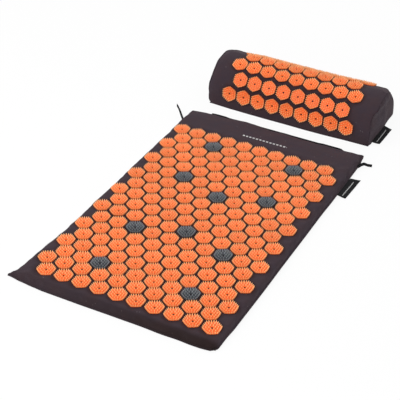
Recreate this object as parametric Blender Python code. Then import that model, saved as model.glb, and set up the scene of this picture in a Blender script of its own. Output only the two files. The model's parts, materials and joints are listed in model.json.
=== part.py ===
"""Acupressure mat and neck pillow: two foam-filled fabric covers set with spiked plastic discs.

Metres, +Z up. The origin is the centre of the mat's underside. +Y runs to the mat's head end and the pillow,
and +X is the side that carries the mat's flag label.
"""

import bisect
import math

import bmesh
import bpy
from mathutils import Vector, kdtree

# Fabric and clearances
FABRIC = 0.0012
GAP = 0.0003
WELD = 0.00001
COVER_EXPONENT = 2.4

# Spiked discs
DISC_FLATS = 0.0300
DISC_PLATE = 0.0014
DISC_DRAFT = 0.0003
SPIKE_HEIGHT = 0.0040

# The mat's disc field
ROWS = 18
COLUMNS = 10
DISC_GAP = 0.0065
STAGGER_SHARE = 0.25
GRAPHITE_PLACES = (
    (2, 2), (2, 7), (6, 2), (6, 7), (7, 5), (11, 5), (12, 2), (12, 7), (16, 2), (16, 7),
)

# The mat's cover
MAT_THICKNESS = 0.019
SIDE_MARGIN = 0.0121
NEAR_MARGIN = 0.01365
FAR_MARGIN = 0.08565
EDGE_ROLL = 0.0055
BOTTOM_TURN = 0.0035
CORNER_RADIUS = 0.016
SIDE_DRAW = 0.002
SEAM_HEIGHT = 0.0055
SEAM_FLANGE = 0.0025
CORNER_EAR = 0.010
EAR_EXPONENT = 1.5
CORNER_STEPS = 4
END_STEPS = 12
SIDE_STEPS = 16
ROLL_STEPS = 4
TURN_STEPS = 2

# Zips, in their own frame: x along the coils, y out of the wall, z up
ZIP_OPENING = 0.008
ZIP_HEIGHT = 0.0085
ZIP_EDGE_FLANGE = 0.0008
ZIP_EASE = 0.012
ZIP_END_MARGIN = 0.034
ZIP_SET_BACK = 0.0020
TAPE_THICKNESS = 0.0005
TAPE_LAP = 0.0018
COIL_WIDTH = 0.0016
COIL_THICKNESS = 0.0016
COIL_RUN_GAP = 0.0012
SLIDER_LENGTH = 0.008
SLIDER_PLATE = 0.0009
SLIDER_POST = 0.0006
SLIDER_RIM = 0.0006
SLIDER_SIDE_GAP = 0.0006
SLIDER_END_SHARE = 0.93
BAIL_LENGTH = 0.0044
BAIL_WIDTH = 0.0012
BAIL_THICKNESS = 0.0006
PULL_LENGTH = 0.018
PULL_WIDTH = 0.005
PULL_THICKNESS = 0.0009
PULL_HOLE_LENGTH = 0.003
PULL_HOLE_GAP = 0.0005
STOP_LENGTH = 0.0025
STOP_THICKNESS = 0.0006
STOP_SET_IN = 0.004
PULL_OVERHANG = 0.014
UNION_OVERRUN = 0.0002

# The pillow
PILLOW_AHEAD = 0.1398
PILLOW_SIDE_STEP = 0.0011
PILLOW_TURN = math.radians(-1.4)
PILLOW_HALF_DEPTH = 0.0833
PILLOW_HEIGHT = 0.0915
PILLOW_EXPONENT = 2.7
PILLOW_BACK_EXPONENT = 1.45
PILLOW_COLUMNS = 9
PILLOW_DISC_GAP = 0.0046
PILLOW_ROW_GAP = 0.00937
PILLOW_END_MARGIN = 0.0271
PILLOW_EDGE_ROOM = 0.0005
PILLOW_FIELD_DROP = 0.0047
PILLOW_ROUND_STEPS = 20
PILLOW_LONG_STEPS = 10
PILLOW_TURN_UP = 0.0015
CORE_EASE = 0.0008
END_BULGE = 0.0105
END_INSET_SHARES = (0.0, 0.03, 0.12, 0.34)
END_RISE_SHARES = (0.0, 0.42, 0.74, 0.95)
END_CENTRE_SHARE = 0.42
ARC_SAMPLES = 240

# Labels and tape loops
LABEL_WIDTH = 0.068
LABEL_REACH = 0.020
LABEL_THICKNESS = 0.0009
LABEL_FLOOR_GAP = 0.0008
LABEL_FROM_FAR_END = 0.1175
PILLOW_LABEL_REACH = 0.015
PILLOW_LABEL_AHEAD = -0.034
PILLOW_LABEL_ROOT_SHARE = 0.54
LABEL_STEPS = 4
LOOP_WIDTH = 0.008
LOOP_LENGTH = 0.034
LOOP_THICKNESS = 0.0018
LOOP_FROM_FAR_END = 0.040
LOOP_SWING = math.radians(42.0)
LOOP_RISE = 0.008
LOOP_STEPS = 6

# Values worked out from the sizes above
PITCH = DISC_FLATS + DISC_GAP
ROW_STEP = PITCH * math.sqrt(3) / 2
DISC_CORNERS = DISC_FLATS * 2 / math.sqrt(3)
MAT_WIDTH = (COLUMNS - 0.5) * PITCH + DISC_FLATS + 2 * SIDE_MARGIN
MAT_LENGTH = (ROWS - 1) * ROW_STEP + DISC_CORNERS + NEAR_MARGIN + FAR_MARGIN
HALF_WIDTH = MAT_WIDTH / 2
HALF_LENGTH = MAT_LENGTH / 2
OPENING_HALF = HALF_WIDTH - CORNER_RADIUS - ZIP_END_MARGIN
PILLOW_PITCH = DISC_FLATS + PILLOW_DISC_GAP
PILLOW_ROW_STEP = DISC_FLATS * math.sqrt(3) / 2 + PILLOW_ROW_GAP
WRAP_HALF = ((PILLOW_COLUMNS - 1) * PILLOW_PITCH + DISC_FLATS) / 2 + PILLOW_END_MARGIN
COIL_CENTRE = -ZIP_SET_BACK - TAPE_THICKNESS / 2
COIL_OUTER = COIL_CENTRE + COIL_THICKNESS / 2
COIL_INNER = COIL_CENTRE - COIL_THICKNESS / 2
COIL_EDGE = COIL_RUN_GAP / 2 + COIL_WIDTH
SLIDER_FACE = COIL_OUTER + GAP + SLIDER_PLATE
SLIDER_BACK = COIL_INNER - GAP - SLIDER_PLATE
BAIL_ROOM = PULL_THICKNESS + 2 * GAP
PULL_AXIS = SLIDER_FACE + GAP + PULL_THICKNESS / 2

# Colours
CHARCOAL = (0.055, 0.041, 0.047)
ORANGE = (1.0, 0.205, 0.052)
GRAPHITE = (0.115, 0.115, 0.130)
TAPE_BLACK = (0.013, 0.013, 0.015)
FOAM_CREAM = (0.80, 0.76, 0.62)
NICKEL = (0.62, 0.62, 0.62)


def clear_scene():
    """Remove what a new Blender file holds."""
    for obj in list(bpy.data.objects):
        bpy.data.objects.remove(obj, do_unlink=True)


def make_material(name, colour, roughness, metallic=0.0):
    """A Principled material of one colour."""
    material = bpy.data.materials.new(name)
    material.use_nodes = True
    shader = material.node_tree.nodes["Principled BSDF"]
    shader.inputs["Base Color"].default_value = (*colour, 1.0)
    shader.inputs["Roughness"].default_value = roughness
    shader.inputs["Metallic"].default_value = metallic
    return material


def add_object(name, bm, materials, parent=None, place=(0, 0, 0)):
    """Turn a bmesh into a named object, with its faces pointing outwards."""
    bmesh.ops.recalc_face_normals(bm, faces=bm.faces[:])
    mesh = bpy.data.meshes.new(name)
    bm.to_mesh(mesh)
    bm.free()
    for material in materials:
        mesh.materials.append(material)
    obj = bpy.data.objects.new(name, mesh)
    bpy.context.scene.collection.objects.link(obj)
    obj.location = place
    obj.parent = parent
    return obj


def add_empty(name, place, turn=0.0, parent=None):
    """An empty that carries a group of pieces."""
    empty = bpy.data.objects.new(name, None)
    bpy.context.scene.collection.objects.link(empty)
    empty.location = place
    empty.rotation_euler = (0, 0, turn)
    empty.parent = parent
    return empty


def bridge_rings(bm, rings):
    """Join each closed ring of vertices to the next with quads."""
    for lower, upper in zip(rings, rings[1:]):
        count = len(lower)
        for i in range(count):
            j = (i + 1) % count
            bm.faces.new((lower[i], lower[j], upper[j], upper[i]))


def extrude_profile(bm, profile, stations):
    """Sweep a closed (y, z) profile along x. Each station gives its x and the share of the profile's z kept."""
    rings = []
    for x, share in stations:
        rings.append([bm.verts.new((x, y, z * share)) for y, z in profile])
    bridge_rings(bm, rings)
    bm.faces.new(rings[0])
    bm.faces.new(rings[-1])


# Cells and discs

class Cell:
    """One place of the honeycomb: its face and the flat frame that a disc sits in."""

    def __init__(self, face, row, column, centre):
        self.face = face
        self.row = row
        self.column = column
        self.centre = Vector((centre[0], centre[1], 0))
        self.along = Vector((1, 0, 0))
        self.across = Vector((0, 1, 0))


def field_place(row, column, pitch, row_step, columns):
    """Centre of a cell, with the field's middle column at zero and its first row at zero."""
    shift = STAGGER_SHARE if row % 2 == 0 else -STAGGER_SHARE
    return ((column - (columns - 1) / 2 + shift) * pitch, row * row_step)


def add_cells(bm, places, pitch, row_step, height):
    """Honeycomb cells that share their corners. A row step past the regular one stretches the upright edges."""
    slope = pitch / (2 * math.sqrt(3))
    low = (row_step - slope) / 2
    high = (row_step + slope) / 2
    half = pitch / 2
    corners = (
        (half, -low, 0), (half, low, 1), (0, high, 2), (-half, low, 1), (-half, -low, 0), (0, -high, -1),
    )
    shared = {}
    cells = []
    for row, column, (x, y) in places:
        verts = []
        for dx, dy, level in corners:
            key = (round((x + dx) / half * 2), row * 2 + level)
            if key not in shared:
                shared[key] = bm.verts.new((x + dx, y + dy, height))
            verts.append(shared[key])
        cell = Cell(bm.faces.new(verts), row, column, (x, y))
        cell.centre.z = height
        cells.append(cell)
    return cells


def fill_round_field(bm, outline):
    """Fill the flat fabric between the honeycomb and a closed outline of vertices."""
    field_edges = [edge for edge in bm.edges if edge.is_boundary]
    outline_edges = []
    for i, vert in enumerate(outline):
        outline_edges.append(bm.edges.new((vert, outline[(i + 1) % len(outline)])))
    edges = field_edges + outline_edges
    bmesh.ops.triangle_fill(bm, use_beauty=True, use_dissolve=False, edges=edges, normal=(0, 0, 1))


def disc_corner(cell, step):
    """One corner of a cell's disc, on the fabric."""
    angle = math.radians(30) + step * math.radians(60)
    radius = DISC_CORNERS / 2
    return cell.centre + cell.along * radius * math.cos(angle) + cell.across * radius * math.sin(angle)


def raise_discs(bm, cells, disc_gap, disc_slot):
    """Give each cell a flat regular hexagon, raise it to a plate, and pull each sixth of it up to a spike."""
    faces = [cell.face for cell in cells]
    bm.normal_update()
    bmesh.ops.inset_individual(bm, faces=faces, thickness=disc_gap / 2, use_even_offset=True)
    for cell in cells:
        for vert in cell.face.verts:
            offset = vert.co - cell.centre
            angle = math.atan2(offset.dot(cell.across), offset.dot(cell.along))
            step = round((angle - math.radians(30)) / math.radians(60))
            vert.co = disc_corner(cell, step)
    bm.normal_update()
    raised = bmesh.ops.inset_individual(bm, faces=faces, thickness=DISC_DRAFT, depth=DISC_PLATE)
    sectors = bmesh.ops.poke(bm, faces=faces, offset=0.0)["faces"]
    bm.normal_update()
    spikes = bmesh.ops.poke(bm, faces=sectors, offset=SPIKE_HEIGHT)["faces"]
    for face in raised["faces"] + spikes:
        face.material_index = disc_slot


def build_disc(name, centre, materials):
    """A loose disc with four spikes in each sixth, twenty-four in all."""
    bm = bmesh.new()
    bmesh.ops.create_circle(bm, cap_ends=True, segments=6, radius=DISC_CORNERS / 2)
    base = bm.faces[:]
    for face in base:
        if face.normal.z < 0:
            face.normal_flip()
    top = bmesh.ops.extrude_face_region(bm, geom=base, use_keep_orig=True)
    lifted = [item for item in top["geom"] if isinstance(item, bmesh.types.BMVert)]
    bmesh.ops.translate(bm, vec=(0, 0, DISC_PLATE), verts=lifted)
    plate = [item for item in top["geom"] if isinstance(item, bmesh.types.BMFace)]
    bm.normal_update()
    sectors = bmesh.ops.poke(bm, faces=plate, offset=0.0)["faces"]
    edges = {edge for face in sectors for edge in face.edges}
    bmesh.ops.subdivide_edges(bm, edges=list(edges), cuts=1, use_grid_fill=True)
    bm.normal_update()
    small = [face for face in bm.faces if face.calc_center_median().z > DISC_PLATE - WELD]
    bmesh.ops.poke(bm, faces=small, offset=SPIKE_HEIGHT)
    return add_object(name, bm, materials, place=centre)


# The mat's cover

class Station:
    """A point of the mat's outline, with its outward normal and its part in the corner ear and the zip."""

    def __init__(self, x, y, angle, ear_share=0.0, zip_share=0.0):
        self.base = Vector((x, y))
        self.normal = Vector((math.cos(angle), math.sin(angle)))
        self.ear_share = ear_share
        self.zip_share = zip_share


def corner_stations(side_x, side_y, start_angle):
    """Points round one corner, with the ear pulled out along its diagonal."""
    centre_x = side_x * (HALF_WIDTH - CORNER_RADIUS)
    centre_y = side_y * (HALF_LENGTH - CORNER_RADIUS)
    stations = []
    for step in range(CORNER_STEPS + 1):
        share = step / CORNER_STEPS
        angle = start_angle + share * math.radians(90)
        x = centre_x + CORNER_RADIUS * math.cos(angle)
        y = centre_y + CORNER_RADIUS * math.sin(angle)
        ear_share = max(0.0, 1 - abs(2 * share - 1)) ** EAR_EXPONENT
        stations.append(Station(x, y, angle, ear_share=ear_share))
    return stations


def side_draw(y):
    """How far a long side is drawn in at y, between its corners."""
    reach = min(1.0, abs(y) / (HALF_LENGTH - CORNER_RADIUS))
    return SIDE_DRAW * (1 - reach * reach)


def mat_stations():
    """The mat's outline, anticlockwise from the near side."""
    run_x = HALF_WIDTH - CORNER_RADIUS
    run_y = HALF_LENGTH - CORNER_RADIUS
    stations = []
    for step in range(1, END_STEPS):
        x = run_x * (2 * step / END_STEPS - 1)
        stations.append(Station(x, -HALF_LENGTH, math.radians(-90)))
    stations += corner_stations(1, -1, math.radians(-90))
    for step in range(1, SIDE_STEPS):
        y = run_y * (2 * step / SIDE_STEPS - 1)
        stations.append(Station(HALF_WIDTH - side_draw(y), y, 0.0))
    stations += corner_stations(1, 1, 0.0)
    opened = ((OPENING_HALF + ZIP_EASE, 0.0), (OPENING_HALF, 1.0), (OPENING_HALF / 2, 1.0))
    far_side = [*opened, (0.0, 1.0)]
    far_side += [(-x, share) for x, share in reversed(opened)]
    for x, share in far_side:
        stations.append(Station(x, HALF_LENGTH, math.radians(90), zip_share=share))
    stations += corner_stations(-1, 1, math.radians(90))
    for step in range(1, SIDE_STEPS):
        y = run_y * (1 - 2 * step / SIDE_STEPS)
        stations.append(Station(-HALF_WIDTH + side_draw(y), y, math.radians(180)))
    stations += corner_stations(-1, -1, math.radians(180))
    return stations


def top_edge(station):
    """Height of the top panel's sewn edge, lifted where the zip is set in."""
    plain = SEAM_HEIGHT + GAP / 2
    opened = ZIP_HEIGHT + ZIP_OPENING / 2
    return plain + (opened - plain) * station.zip_share


def bottom_edge(station):
    """Height of the bottom panel's sewn edge, lowered where the zip is set in."""
    plain = SEAM_HEIGHT - GAP / 2
    opened = ZIP_HEIGHT - ZIP_OPENING / 2
    return plain + (opened - plain) * station.zip_share


def flange(station):
    """Width of the sewn edge that stands out round the mat."""
    return SEAM_FLANGE + (ZIP_EDGE_FLANGE - SEAM_FLANGE) * station.zip_share


def outline_ring(bm, stations, inset, height, ear=0.0, far_limit=None):
    """A ring of vertices, inset from the outline. Inset and height are functions of the station."""
    ring = []
    for station in stations:
        reach = CORNER_EAR * station.ear_share * ear - inset(station)
        place = station.base + station.normal * reach
        y = place.y if far_limit is None else min(place.y, far_limit)
        ring.append(bm.verts.new((place.x, y, height(station))))
    return ring


def roll_shares(step, steps):
    """Shares across and down a rounded edge, from its flat side to its upright side."""
    angle = math.radians(90) * step / steps
    power = 2 / COVER_EXPONENT
    return math.sin(angle) ** power, 1 - max(0.0, math.cos(angle)) ** power


def rolled_rings(bm, stations, steps, roll, wall, flat_height, edge_height, far_limit=None, eared=True):
    """Rings from a flat face at flat_height round to an upright wall that ends at edge_height."""
    rings = []
    for step in range(steps + 1):
        across, down = roll_shares(step, steps)
        inset = wall + (roll - wall) * (1 - across)
        ear = (step / steps) ** 2 if eared else 0.0
        rings.append(outline_ring(
            bm, stations,
            lambda station, inset=inset: inset,
            lambda station, down=down: flat_height + (edge_height(station) - flat_height) * down,
            ear, far_limit,
        ))
    return rings


def mat_field_places():
    """Row, column and centre of each of the mat's disc places."""
    first_row = -HALF_LENGTH + NEAR_MARGIN + DISC_CORNERS / 2
    places = []
    for row in range(ROWS):
        for column in range(COLUMNS):
            x, y = field_place(row, column, PITCH, ROW_STEP, COLUMNS)
            places.append((row, column, (x, y + first_row)))
    return places


def build_mat_top(materials):
    """The top panel: flat under the discs, rolled down to its sewn edge, with the orange discs fixed to it."""
    bm = bmesh.new()
    stations = mat_stations()
    cells = add_cells(bm, mat_field_places(), PITCH, ROW_STEP, MAT_THICKNESS)
    outer = rolled_rings(
        bm, stations, ROLL_STEPS, EDGE_ROLL, 0.0, MAT_THICKNESS,
        lambda station: top_edge(station) + FABRIC,
    )
    fill_round_field(bm, outer[0])
    edge_top = outline_ring(
        bm, stations, lambda station: -flange(station), lambda station: top_edge(station) + FABRIC, 1.0,
    )
    edge_low = outline_ring(bm, stations, lambda station: -flange(station), top_edge, 1.0)
    inner = rolled_rings(bm, stations, ROLL_STEPS, EDGE_ROLL, FABRIC, MAT_THICKNESS - FABRIC, top_edge)
    inner.reverse()
    bridge_rings(bm, outer + [edge_top, edge_low] + inner)
    bm.faces.new(inner[-1])
    covered = [cell for cell in cells if (cell.row, cell.column) not in GRAPHITE_PLACES]
    bmesh.ops.recalc_face_normals(bm, faces=bm.faces[:])
    raise_discs(bm, covered, DISC_GAP, 1)
    add_object("mat_top_cover", bm, materials)
    return [cell for cell in cells if (cell.row, cell.column) in GRAPHITE_PLACES]


def build_mat_bottom(materials):
    """The bottom panel: flat on the floor, turned up to its sewn edge."""
    bm = bmesh.new()
    stations = mat_stations()
    outer = rolled_rings(
        bm, stations, TURN_STEPS, BOTTOM_TURN, 0.0, 0.0,
        lambda station: bottom_edge(station) - FABRIC,
    )
    edge_low = outline_ring(
        bm, stations, lambda station: -flange(station), lambda station: bottom_edge(station) - FABRIC, 1.0,
    )
    edge_top = outline_ring(bm, stations, lambda station: -flange(station), bottom_edge, 1.0)
    inner = rolled_rings(bm, stations, TURN_STEPS, BOTTOM_TURN, FABRIC, FABRIC, bottom_edge)
    inner.reverse()
    bm.faces.new(outer[0])
    bridge_rings(bm, outer + [edge_low, edge_top] + inner)
    bm.faces.new(inner[-1])
    add_object("mat_bottom_cover", bm, materials)


def build_mat_core(materials):
    """The foam slab, cut short at the zip end so that the slider's back plate runs clear."""
    bm = bmesh.new()
    stations = mat_stations()
    wall = FABRIC + GAP
    waist = FABRIC + GAP + BOTTOM_TURN
    far_limit = HALF_LENGTH + SLIDER_BACK - GAP
    upper = rolled_rings(
        bm, stations, TURN_STEPS + 1, EDGE_ROLL + GAP, wall, MAT_THICKNESS - FABRIC - GAP,
        lambda station: waist, far_limit, eared=False,
    )
    base = outline_ring(
        bm, stations, lambda station: wall + BOTTOM_TURN, lambda station: FABRIC + GAP, 0.0,
        far_limit - BOTTOM_TURN,
    )
    bm.faces.new(upper[0])
    bridge_rings(bm, upper + [base])
    bm.faces.new(base)
    add_object("mat_foam_core", bm, materials)


# Zips

def build_zip(prefix, line, half_length, pull_room, fabric, metal):
    """A zip on an empty that lies on its centre line: two tapes, two stops, the slider and its pull."""
    outer, inner = COIL_OUTER, COIL_INNER
    third = COIL_WIDTH / 3
    root = COIL_RUN_GAP / 2
    reach = ZIP_OPENING / 2 + TAPE_LAP
    half_bead = COIL_THICKNESS / 4
    tape_face = -ZIP_SET_BACK
    tape_back = tape_face - TAPE_THICKNESS
    profile = (
        (COIL_CENTRE - half_bead, root), (COIL_CENTRE + half_bead, root),
        (outer, root + third), (outer, root + 2 * third), (tape_face, COIL_EDGE),
        (tape_face, reach), (tape_back, reach), (tape_back, COIL_EDGE),
        (inner, root + 2 * third), (inner, root + third),
    )
    for side, name in ((1, "upper"), (-1, "lower")):
        bm = bmesh.new()
        lengths = ((-half_length, side), (half_length, side))
        extrude_profile(bm, profile, lengths)
        add_object(f"{prefix}_{name}_tape", bm, [fabric], line)
    travel = zip_travel(half_length, pull_room)
    for name, x in (("closed_stop", travel[0] - SLIDER_LENGTH / 2), ("open_stop", travel[1] + SLIDER_LENGTH / 2)):
        side = -1 if name == "closed_stop" else 1
        build_stop(f"{prefix}_{name}", line, x + side * GAP, side, metal)
    slider_place = (travel[0], 0, 0)
    build_slider(f"{prefix}_slider", line, slider_place, metal)
    build_pull(f"{prefix}_pull", line, (travel[0], PULL_AXIS, 0), metal)


def zip_travel(half_length, pull_room):
    """Closed and open places of the slider's middle along the zip."""
    closed = -half_length + STOP_SET_IN + STOP_LENGTH + GAP + SLIDER_LENGTH / 2
    opened = half_length - pull_room - STOP_LENGTH - GAP - SLIDER_LENGTH / 2
    return closed, opened


def build_stop(name, line, near_x, side, metal):
    """A stop that bridges both coils, with a web between them to meet the slider's post."""
    face = COIL_OUTER + GAP
    web = SLIDER_POST / 2
    wing = COIL_EDGE
    profile = (
        (face + STOP_THICKNESS, -wing), (face, -wing), (face, -web), (COIL_INNER, -web),
        (COIL_INNER, web), (face, web), (face, wing), (face + STOP_THICKNESS, wing),
    )
    far_x = near_x + side * STOP_LENGTH
    bm = bmesh.new()
    extrude_profile(bm, profile, ((near_x, 1.0), (far_x, 1.0)))
    add_object(name, bm, [metal], line)


def build_slider(name, line, place, metal):
    """A slider: two rimmed plates on either side of the coils, joined by a post, with a bail for the pull."""
    rim_inner = COIL_EDGE + SLIDER_SIDE_GAP
    rim_outer = rim_inner + SLIDER_RIM
    post = SLIDER_POST / 2
    plate_in = COIL_OUTER + GAP
    plate_back = COIL_INNER - GAP
    rim_face = -ZIP_SET_BACK + GAP
    rim_back = -ZIP_SET_BACK - TAPE_THICKNESS - GAP
    half = (
        (plate_back, post), (plate_back, rim_inner), (rim_back, rim_inner), (rim_back, rim_outer),
        (SLIDER_BACK, rim_outer),
    )
    face_half = (
        (SLIDER_FACE, rim_outer), (rim_face, rim_outer), (rim_face, rim_inner), (plate_in, rim_inner),
        (plate_in, post),
    )
    profile = list(face_half) + list(half)
    profile += [(y, -z) for y, z in reversed(profile)]
    end = SLIDER_LENGTH / 2
    shoulder = SLIDER_LENGTH / 4
    stations = ((-end, SLIDER_END_SHARE), (-shoulder, 1.0), (shoulder, 1.0), (end, SLIDER_END_SHARE))
    bm = bmesh.new()
    extrude_profile(bm, profile, stations)
    slider = add_object(name, bm, [metal], line, place)

    reach = BAIL_LENGTH / 2
    room = BAIL_ROOM
    foot = SLIDER_FACE - UNION_OVERRUN
    crown = SLIDER_FACE + room
    arch = (
        (-reach, foot), (-reach, crown), (-reach + BAIL_THICKNESS, crown + BAIL_THICKNESS),
        (reach - BAIL_THICKNESS, crown + BAIL_THICKNESS), (reach, crown), (reach, foot),
        (reach - BAIL_THICKNESS, foot), (reach - BAIL_THICKNESS, crown),
        (-reach + BAIL_THICKNESS, crown), (-reach + BAIL_THICKNESS, foot),
    )
    bm = bmesh.new()
    sides = []
    for z in (-BAIL_WIDTH / 2, BAIL_WIDTH / 2):
        sides.append([bm.verts.new((x, y, z)) for x, y in arch])
    bridge_rings(bm, sides)
    bm.faces.new(sides[0])
    bm.faces.new(sides[1])
    bail = add_object(f"{name}_bail_shape", bm, [metal], line, place)
    bail.hide_render = True
    bail.display_type = "WIRE"
    union = slider.modifiers.new("Bail", "BOOLEAN")
    union.operation = "UNION"
    union.solver = "EXACT"
    union.object = bail


def build_pull(name, line, place, metal):
    """The pull, flat along the zip at rest. Its crossbar lies on the hinge axis, inside the slider's bail."""
    bar = PULL_THICKNESS / 2
    half_width = PULL_WIDTH / 2
    hole_half = BAIL_WIDTH / 2 + PULL_HOLE_GAP
    tail = PULL_LENGTH - bar
    shoulder = tail - half_width
    outline = (
        (-bar, -half_width), (shoulder, -half_width), (tail, -half_width / 2),
        (tail, half_width / 2), (shoulder, half_width), (-bar, half_width),
    )
    hole = (
        (bar, -hole_half), (bar + PULL_HOLE_LENGTH, -hole_half),
        (bar + PULL_HOLE_LENGTH, hole_half), (bar, hole_half),
    )
    bm = bmesh.new()
    edges = []
    for loop in (outline, hole):
        verts = [bm.verts.new((x, -bar, z)) for x, z in loop]
        for i, vert in enumerate(verts):
            edges.append(bm.edges.new((vert, verts[(i + 1) % len(verts)])))
    bmesh.ops.triangle_fill(bm, use_beauty=True, use_dissolve=False, edges=edges, normal=(0, 1, 0))
    face = bmesh.ops.extrude_face_region(bm, geom=bm.faces[:], use_keep_orig=True)
    lifted = [item for item in face["geom"] if isinstance(item, bmesh.types.BMVert)]
    bmesh.ops.translate(bm, vec=(0, PULL_THICKNESS, 0), verts=lifted)
    add_object(name, bm, [metal], line, place)


# The pillow

class Arch:
    """The pillow's D-shaped section, measured by its length from the crown, negative to the front."""

    def __init__(self, half_depth, height):
        self.points = []
        self.lengths = []
        total = 0.0
        for step in range(ARC_SAMPLES + 1):
            angle = math.pi * (step / ARC_SAMPLES - 0.5)
            fullness = PILLOW_EXPONENT if angle <= 0 else PILLOW_BACK_EXPONENT
            depth = half_depth * math.copysign(abs(math.sin(angle)) ** (2 / fullness), angle)
            point = Vector((depth, height * max(0.0, math.cos(angle)) ** (2 / PILLOW_EXPONENT)))
            if self.points:
                total += (point - self.points[-1]).length
            self.points.append(point)
            self.lengths.append(total)
        crown = self.lengths[ARC_SAMPLES // 2]
        self.lengths = [length - crown for length in self.lengths]

    def place(self, length):
        """Point and tangent at a length from the crown."""
        index = bisect.bisect_right(self.lengths, length) - 1
        index = max(0, min(index, len(self.lengths) - 2))
        start, end = self.points[index], self.points[index + 1]
        span = self.lengths[index + 1] - self.lengths[index]
        share = (length - self.lengths[index]) / span
        return start.lerp(end, share), (end - start).normalized()

    def length_at(self, height, side):
        """Length from the crown to where the wall stands at this height, on the front (-1) or back (1)."""
        points = self.points if side < 0 else self.points[::-1]
        lengths = self.lengths if side < 0 else self.lengths[::-1]
        index = next(i for i, point in enumerate(points) if i > 0 and point.y > height)
        low, high = points[index - 1].y, points[index].y
        share = (height - low) / (high - low)
        return lengths[index - 1] + share * (lengths[index] - lengths[index - 1])

    def surface(self, x, length, depth=0.0):
        """The point of the wrap at x along the pillow, sunk by depth under its outer face."""
        point, tangent = self.place(length)
        return Vector((x, point.x + tangent.y * depth, point.y - tangent.x * depth))


def wrap_span(arch):
    """Lengths of the wrap's front and back edges from the crown."""
    front = arch.length_at(FABRIC + GAP, -1)
    back = arch.length_at(ZIP_HEIGHT + ZIP_OPENING / 2, 1)
    return front, back


def wrap_grid(front, back):
    """Places along and round the wrap where its edges have points."""
    along = [WRAP_HALF * (2 * i / PILLOW_LONG_STEPS - 1) for i in range(PILLOW_LONG_STEPS + 1)]
    round_wrap = [front + (back - front) * i / PILLOW_ROUND_STEPS for i in range(PILLOW_ROUND_STEPS + 1)]
    return along, round_wrap


def rim_of_grid(grid):
    """The outer vertices of a grid of rows, anticlockwise."""
    rim = list(grid[0])
    rim += [row[-1] for row in grid[1:]]
    rim += list(reversed(grid[-1]))[1:]
    rim += [row[0] for row in reversed(grid[1:-1])]
    return rim


def upright_edges(bm):
    """Where the honeycomb's long upright edges start and end, along and round the wrap."""
    edges = []
    for edge in bm.edges:
        start, end = (vert.co for vert in edge.verts)
        long_enough = edge.calc_length() > PILLOW_ROW_STEP / 2
        if abs(start.x - end.x) < WELD and long_enough and not edge.is_boundary:
            edges.append((start.x, start.y, end.y))
    return edges


def bend_uprights(bm, uprights, arch):
    """Split each upright edge and lay its middle on the arch, so that the fabric follows the curve."""
    edges = bm.edges[:]
    tree = kdtree.KDTree(len(edges))
    for index, edge in enumerate(edges):
        tree.insert((edge.verts[0].co + edge.verts[1].co) / 2, index)
    tree.balance()
    found = []
    for x, start, end in uprights:
        middle = (arch.surface(x, start) + arch.surface(x, end)) / 2
        found.append((edges[tree.find(middle)[1]], arch.surface(x, (start + end) / 2)))
    for edge, place in found:
        split = bmesh.ops.subdivide_edges(bm, edges=[edge], cuts=1)
        middle = next(item for item in split["geom_inner"] if isinstance(item, bmesh.types.BMVert))
        middle.co = place


def row_count(front, back):
    """How many rows of cells the wrap has room for, about the middle of its field."""
    slope = PILLOW_PITCH / (2 * math.sqrt(3))
    half_room = min(-PILLOW_FIELD_DROP - front, back + PILLOW_FIELD_DROP) - PILLOW_EDGE_ROOM
    return int((2 * half_room - slope) / PILLOW_ROW_STEP)


def wrap_places(rows):
    """Row, column and place of each cell. Odd rows have one more, and their outer cells stay bare."""
    places = []
    for row in range(rows):
        cell_count = PILLOW_COLUMNS + row % 2
        for column in range(cell_count):
            x = (column - (cell_count - 1) / 2) * PILLOW_PITCH
            v = (row - (rows - 1) / 2) * PILLOW_ROW_STEP - PILLOW_FIELD_DROP
            places.append((row, column, (x, v)))
    return places


def build_wrap(parent, materials):
    """The curved cover panel, with its discs fixed to it on flats between the folds."""
    arch = Arch(PILLOW_HALF_DEPTH, PILLOW_HEIGHT)
    front, back = wrap_span(arch)
    along, round_wrap = wrap_grid(front, back)
    places = wrap_places(row_count(front, back))
    bm = bmesh.new()
    cells = add_cells(bm, places, PILLOW_PITCH, PILLOW_ROW_STEP, 0.0)
    flat_grid = [[(x, v) for x in along] for v in round_wrap]
    rim = [bm.verts.new((x, v, 0)) for x, v in rim_of_grid(flat_grid)]
    fill_round_field(bm, rim)
    covered = [cell for cell in cells if cell.row % 2 == 0 or 0 < cell.column < PILLOW_COLUMNS]
    bare = [cell.face for cell in cells if cell not in covered]
    bmesh.ops.poke(bm, faces=bare, offset=0.0)
    uprights = upright_edges(bm)
    for vert in bm.verts:
        vert.co = arch.surface(vert.co.x, vert.co.y)
    for cell in covered:
        point, tangent = arch.place(cell.centre.y)
        cell.across = Vector((0, tangent.x, tangent.y))
        cell.centre = Vector((cell.centre.x, point.x, point.y))

    inner = [[bm.verts.new(arch.surface(x, v, FABRIC)) for x in along] for v in round_wrap]
    for row, next_row in zip(inner, inner[1:]):
        for i in range(len(along) - 1):
            bm.faces.new((row[i], row[i + 1], next_row[i + 1], next_row[i]))
    bridge_rings(bm, [rim, rim_of_grid(inner)])
    bmesh.ops.recalc_face_normals(bm, faces=bm.faces[:])
    raise_discs(bm, covered, PILLOW_DISC_GAP, 1)
    bend_uprights(bm, uprights, arch)
    add_object("pillow_wrap", bm, materials, parent)
    return arch


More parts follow.
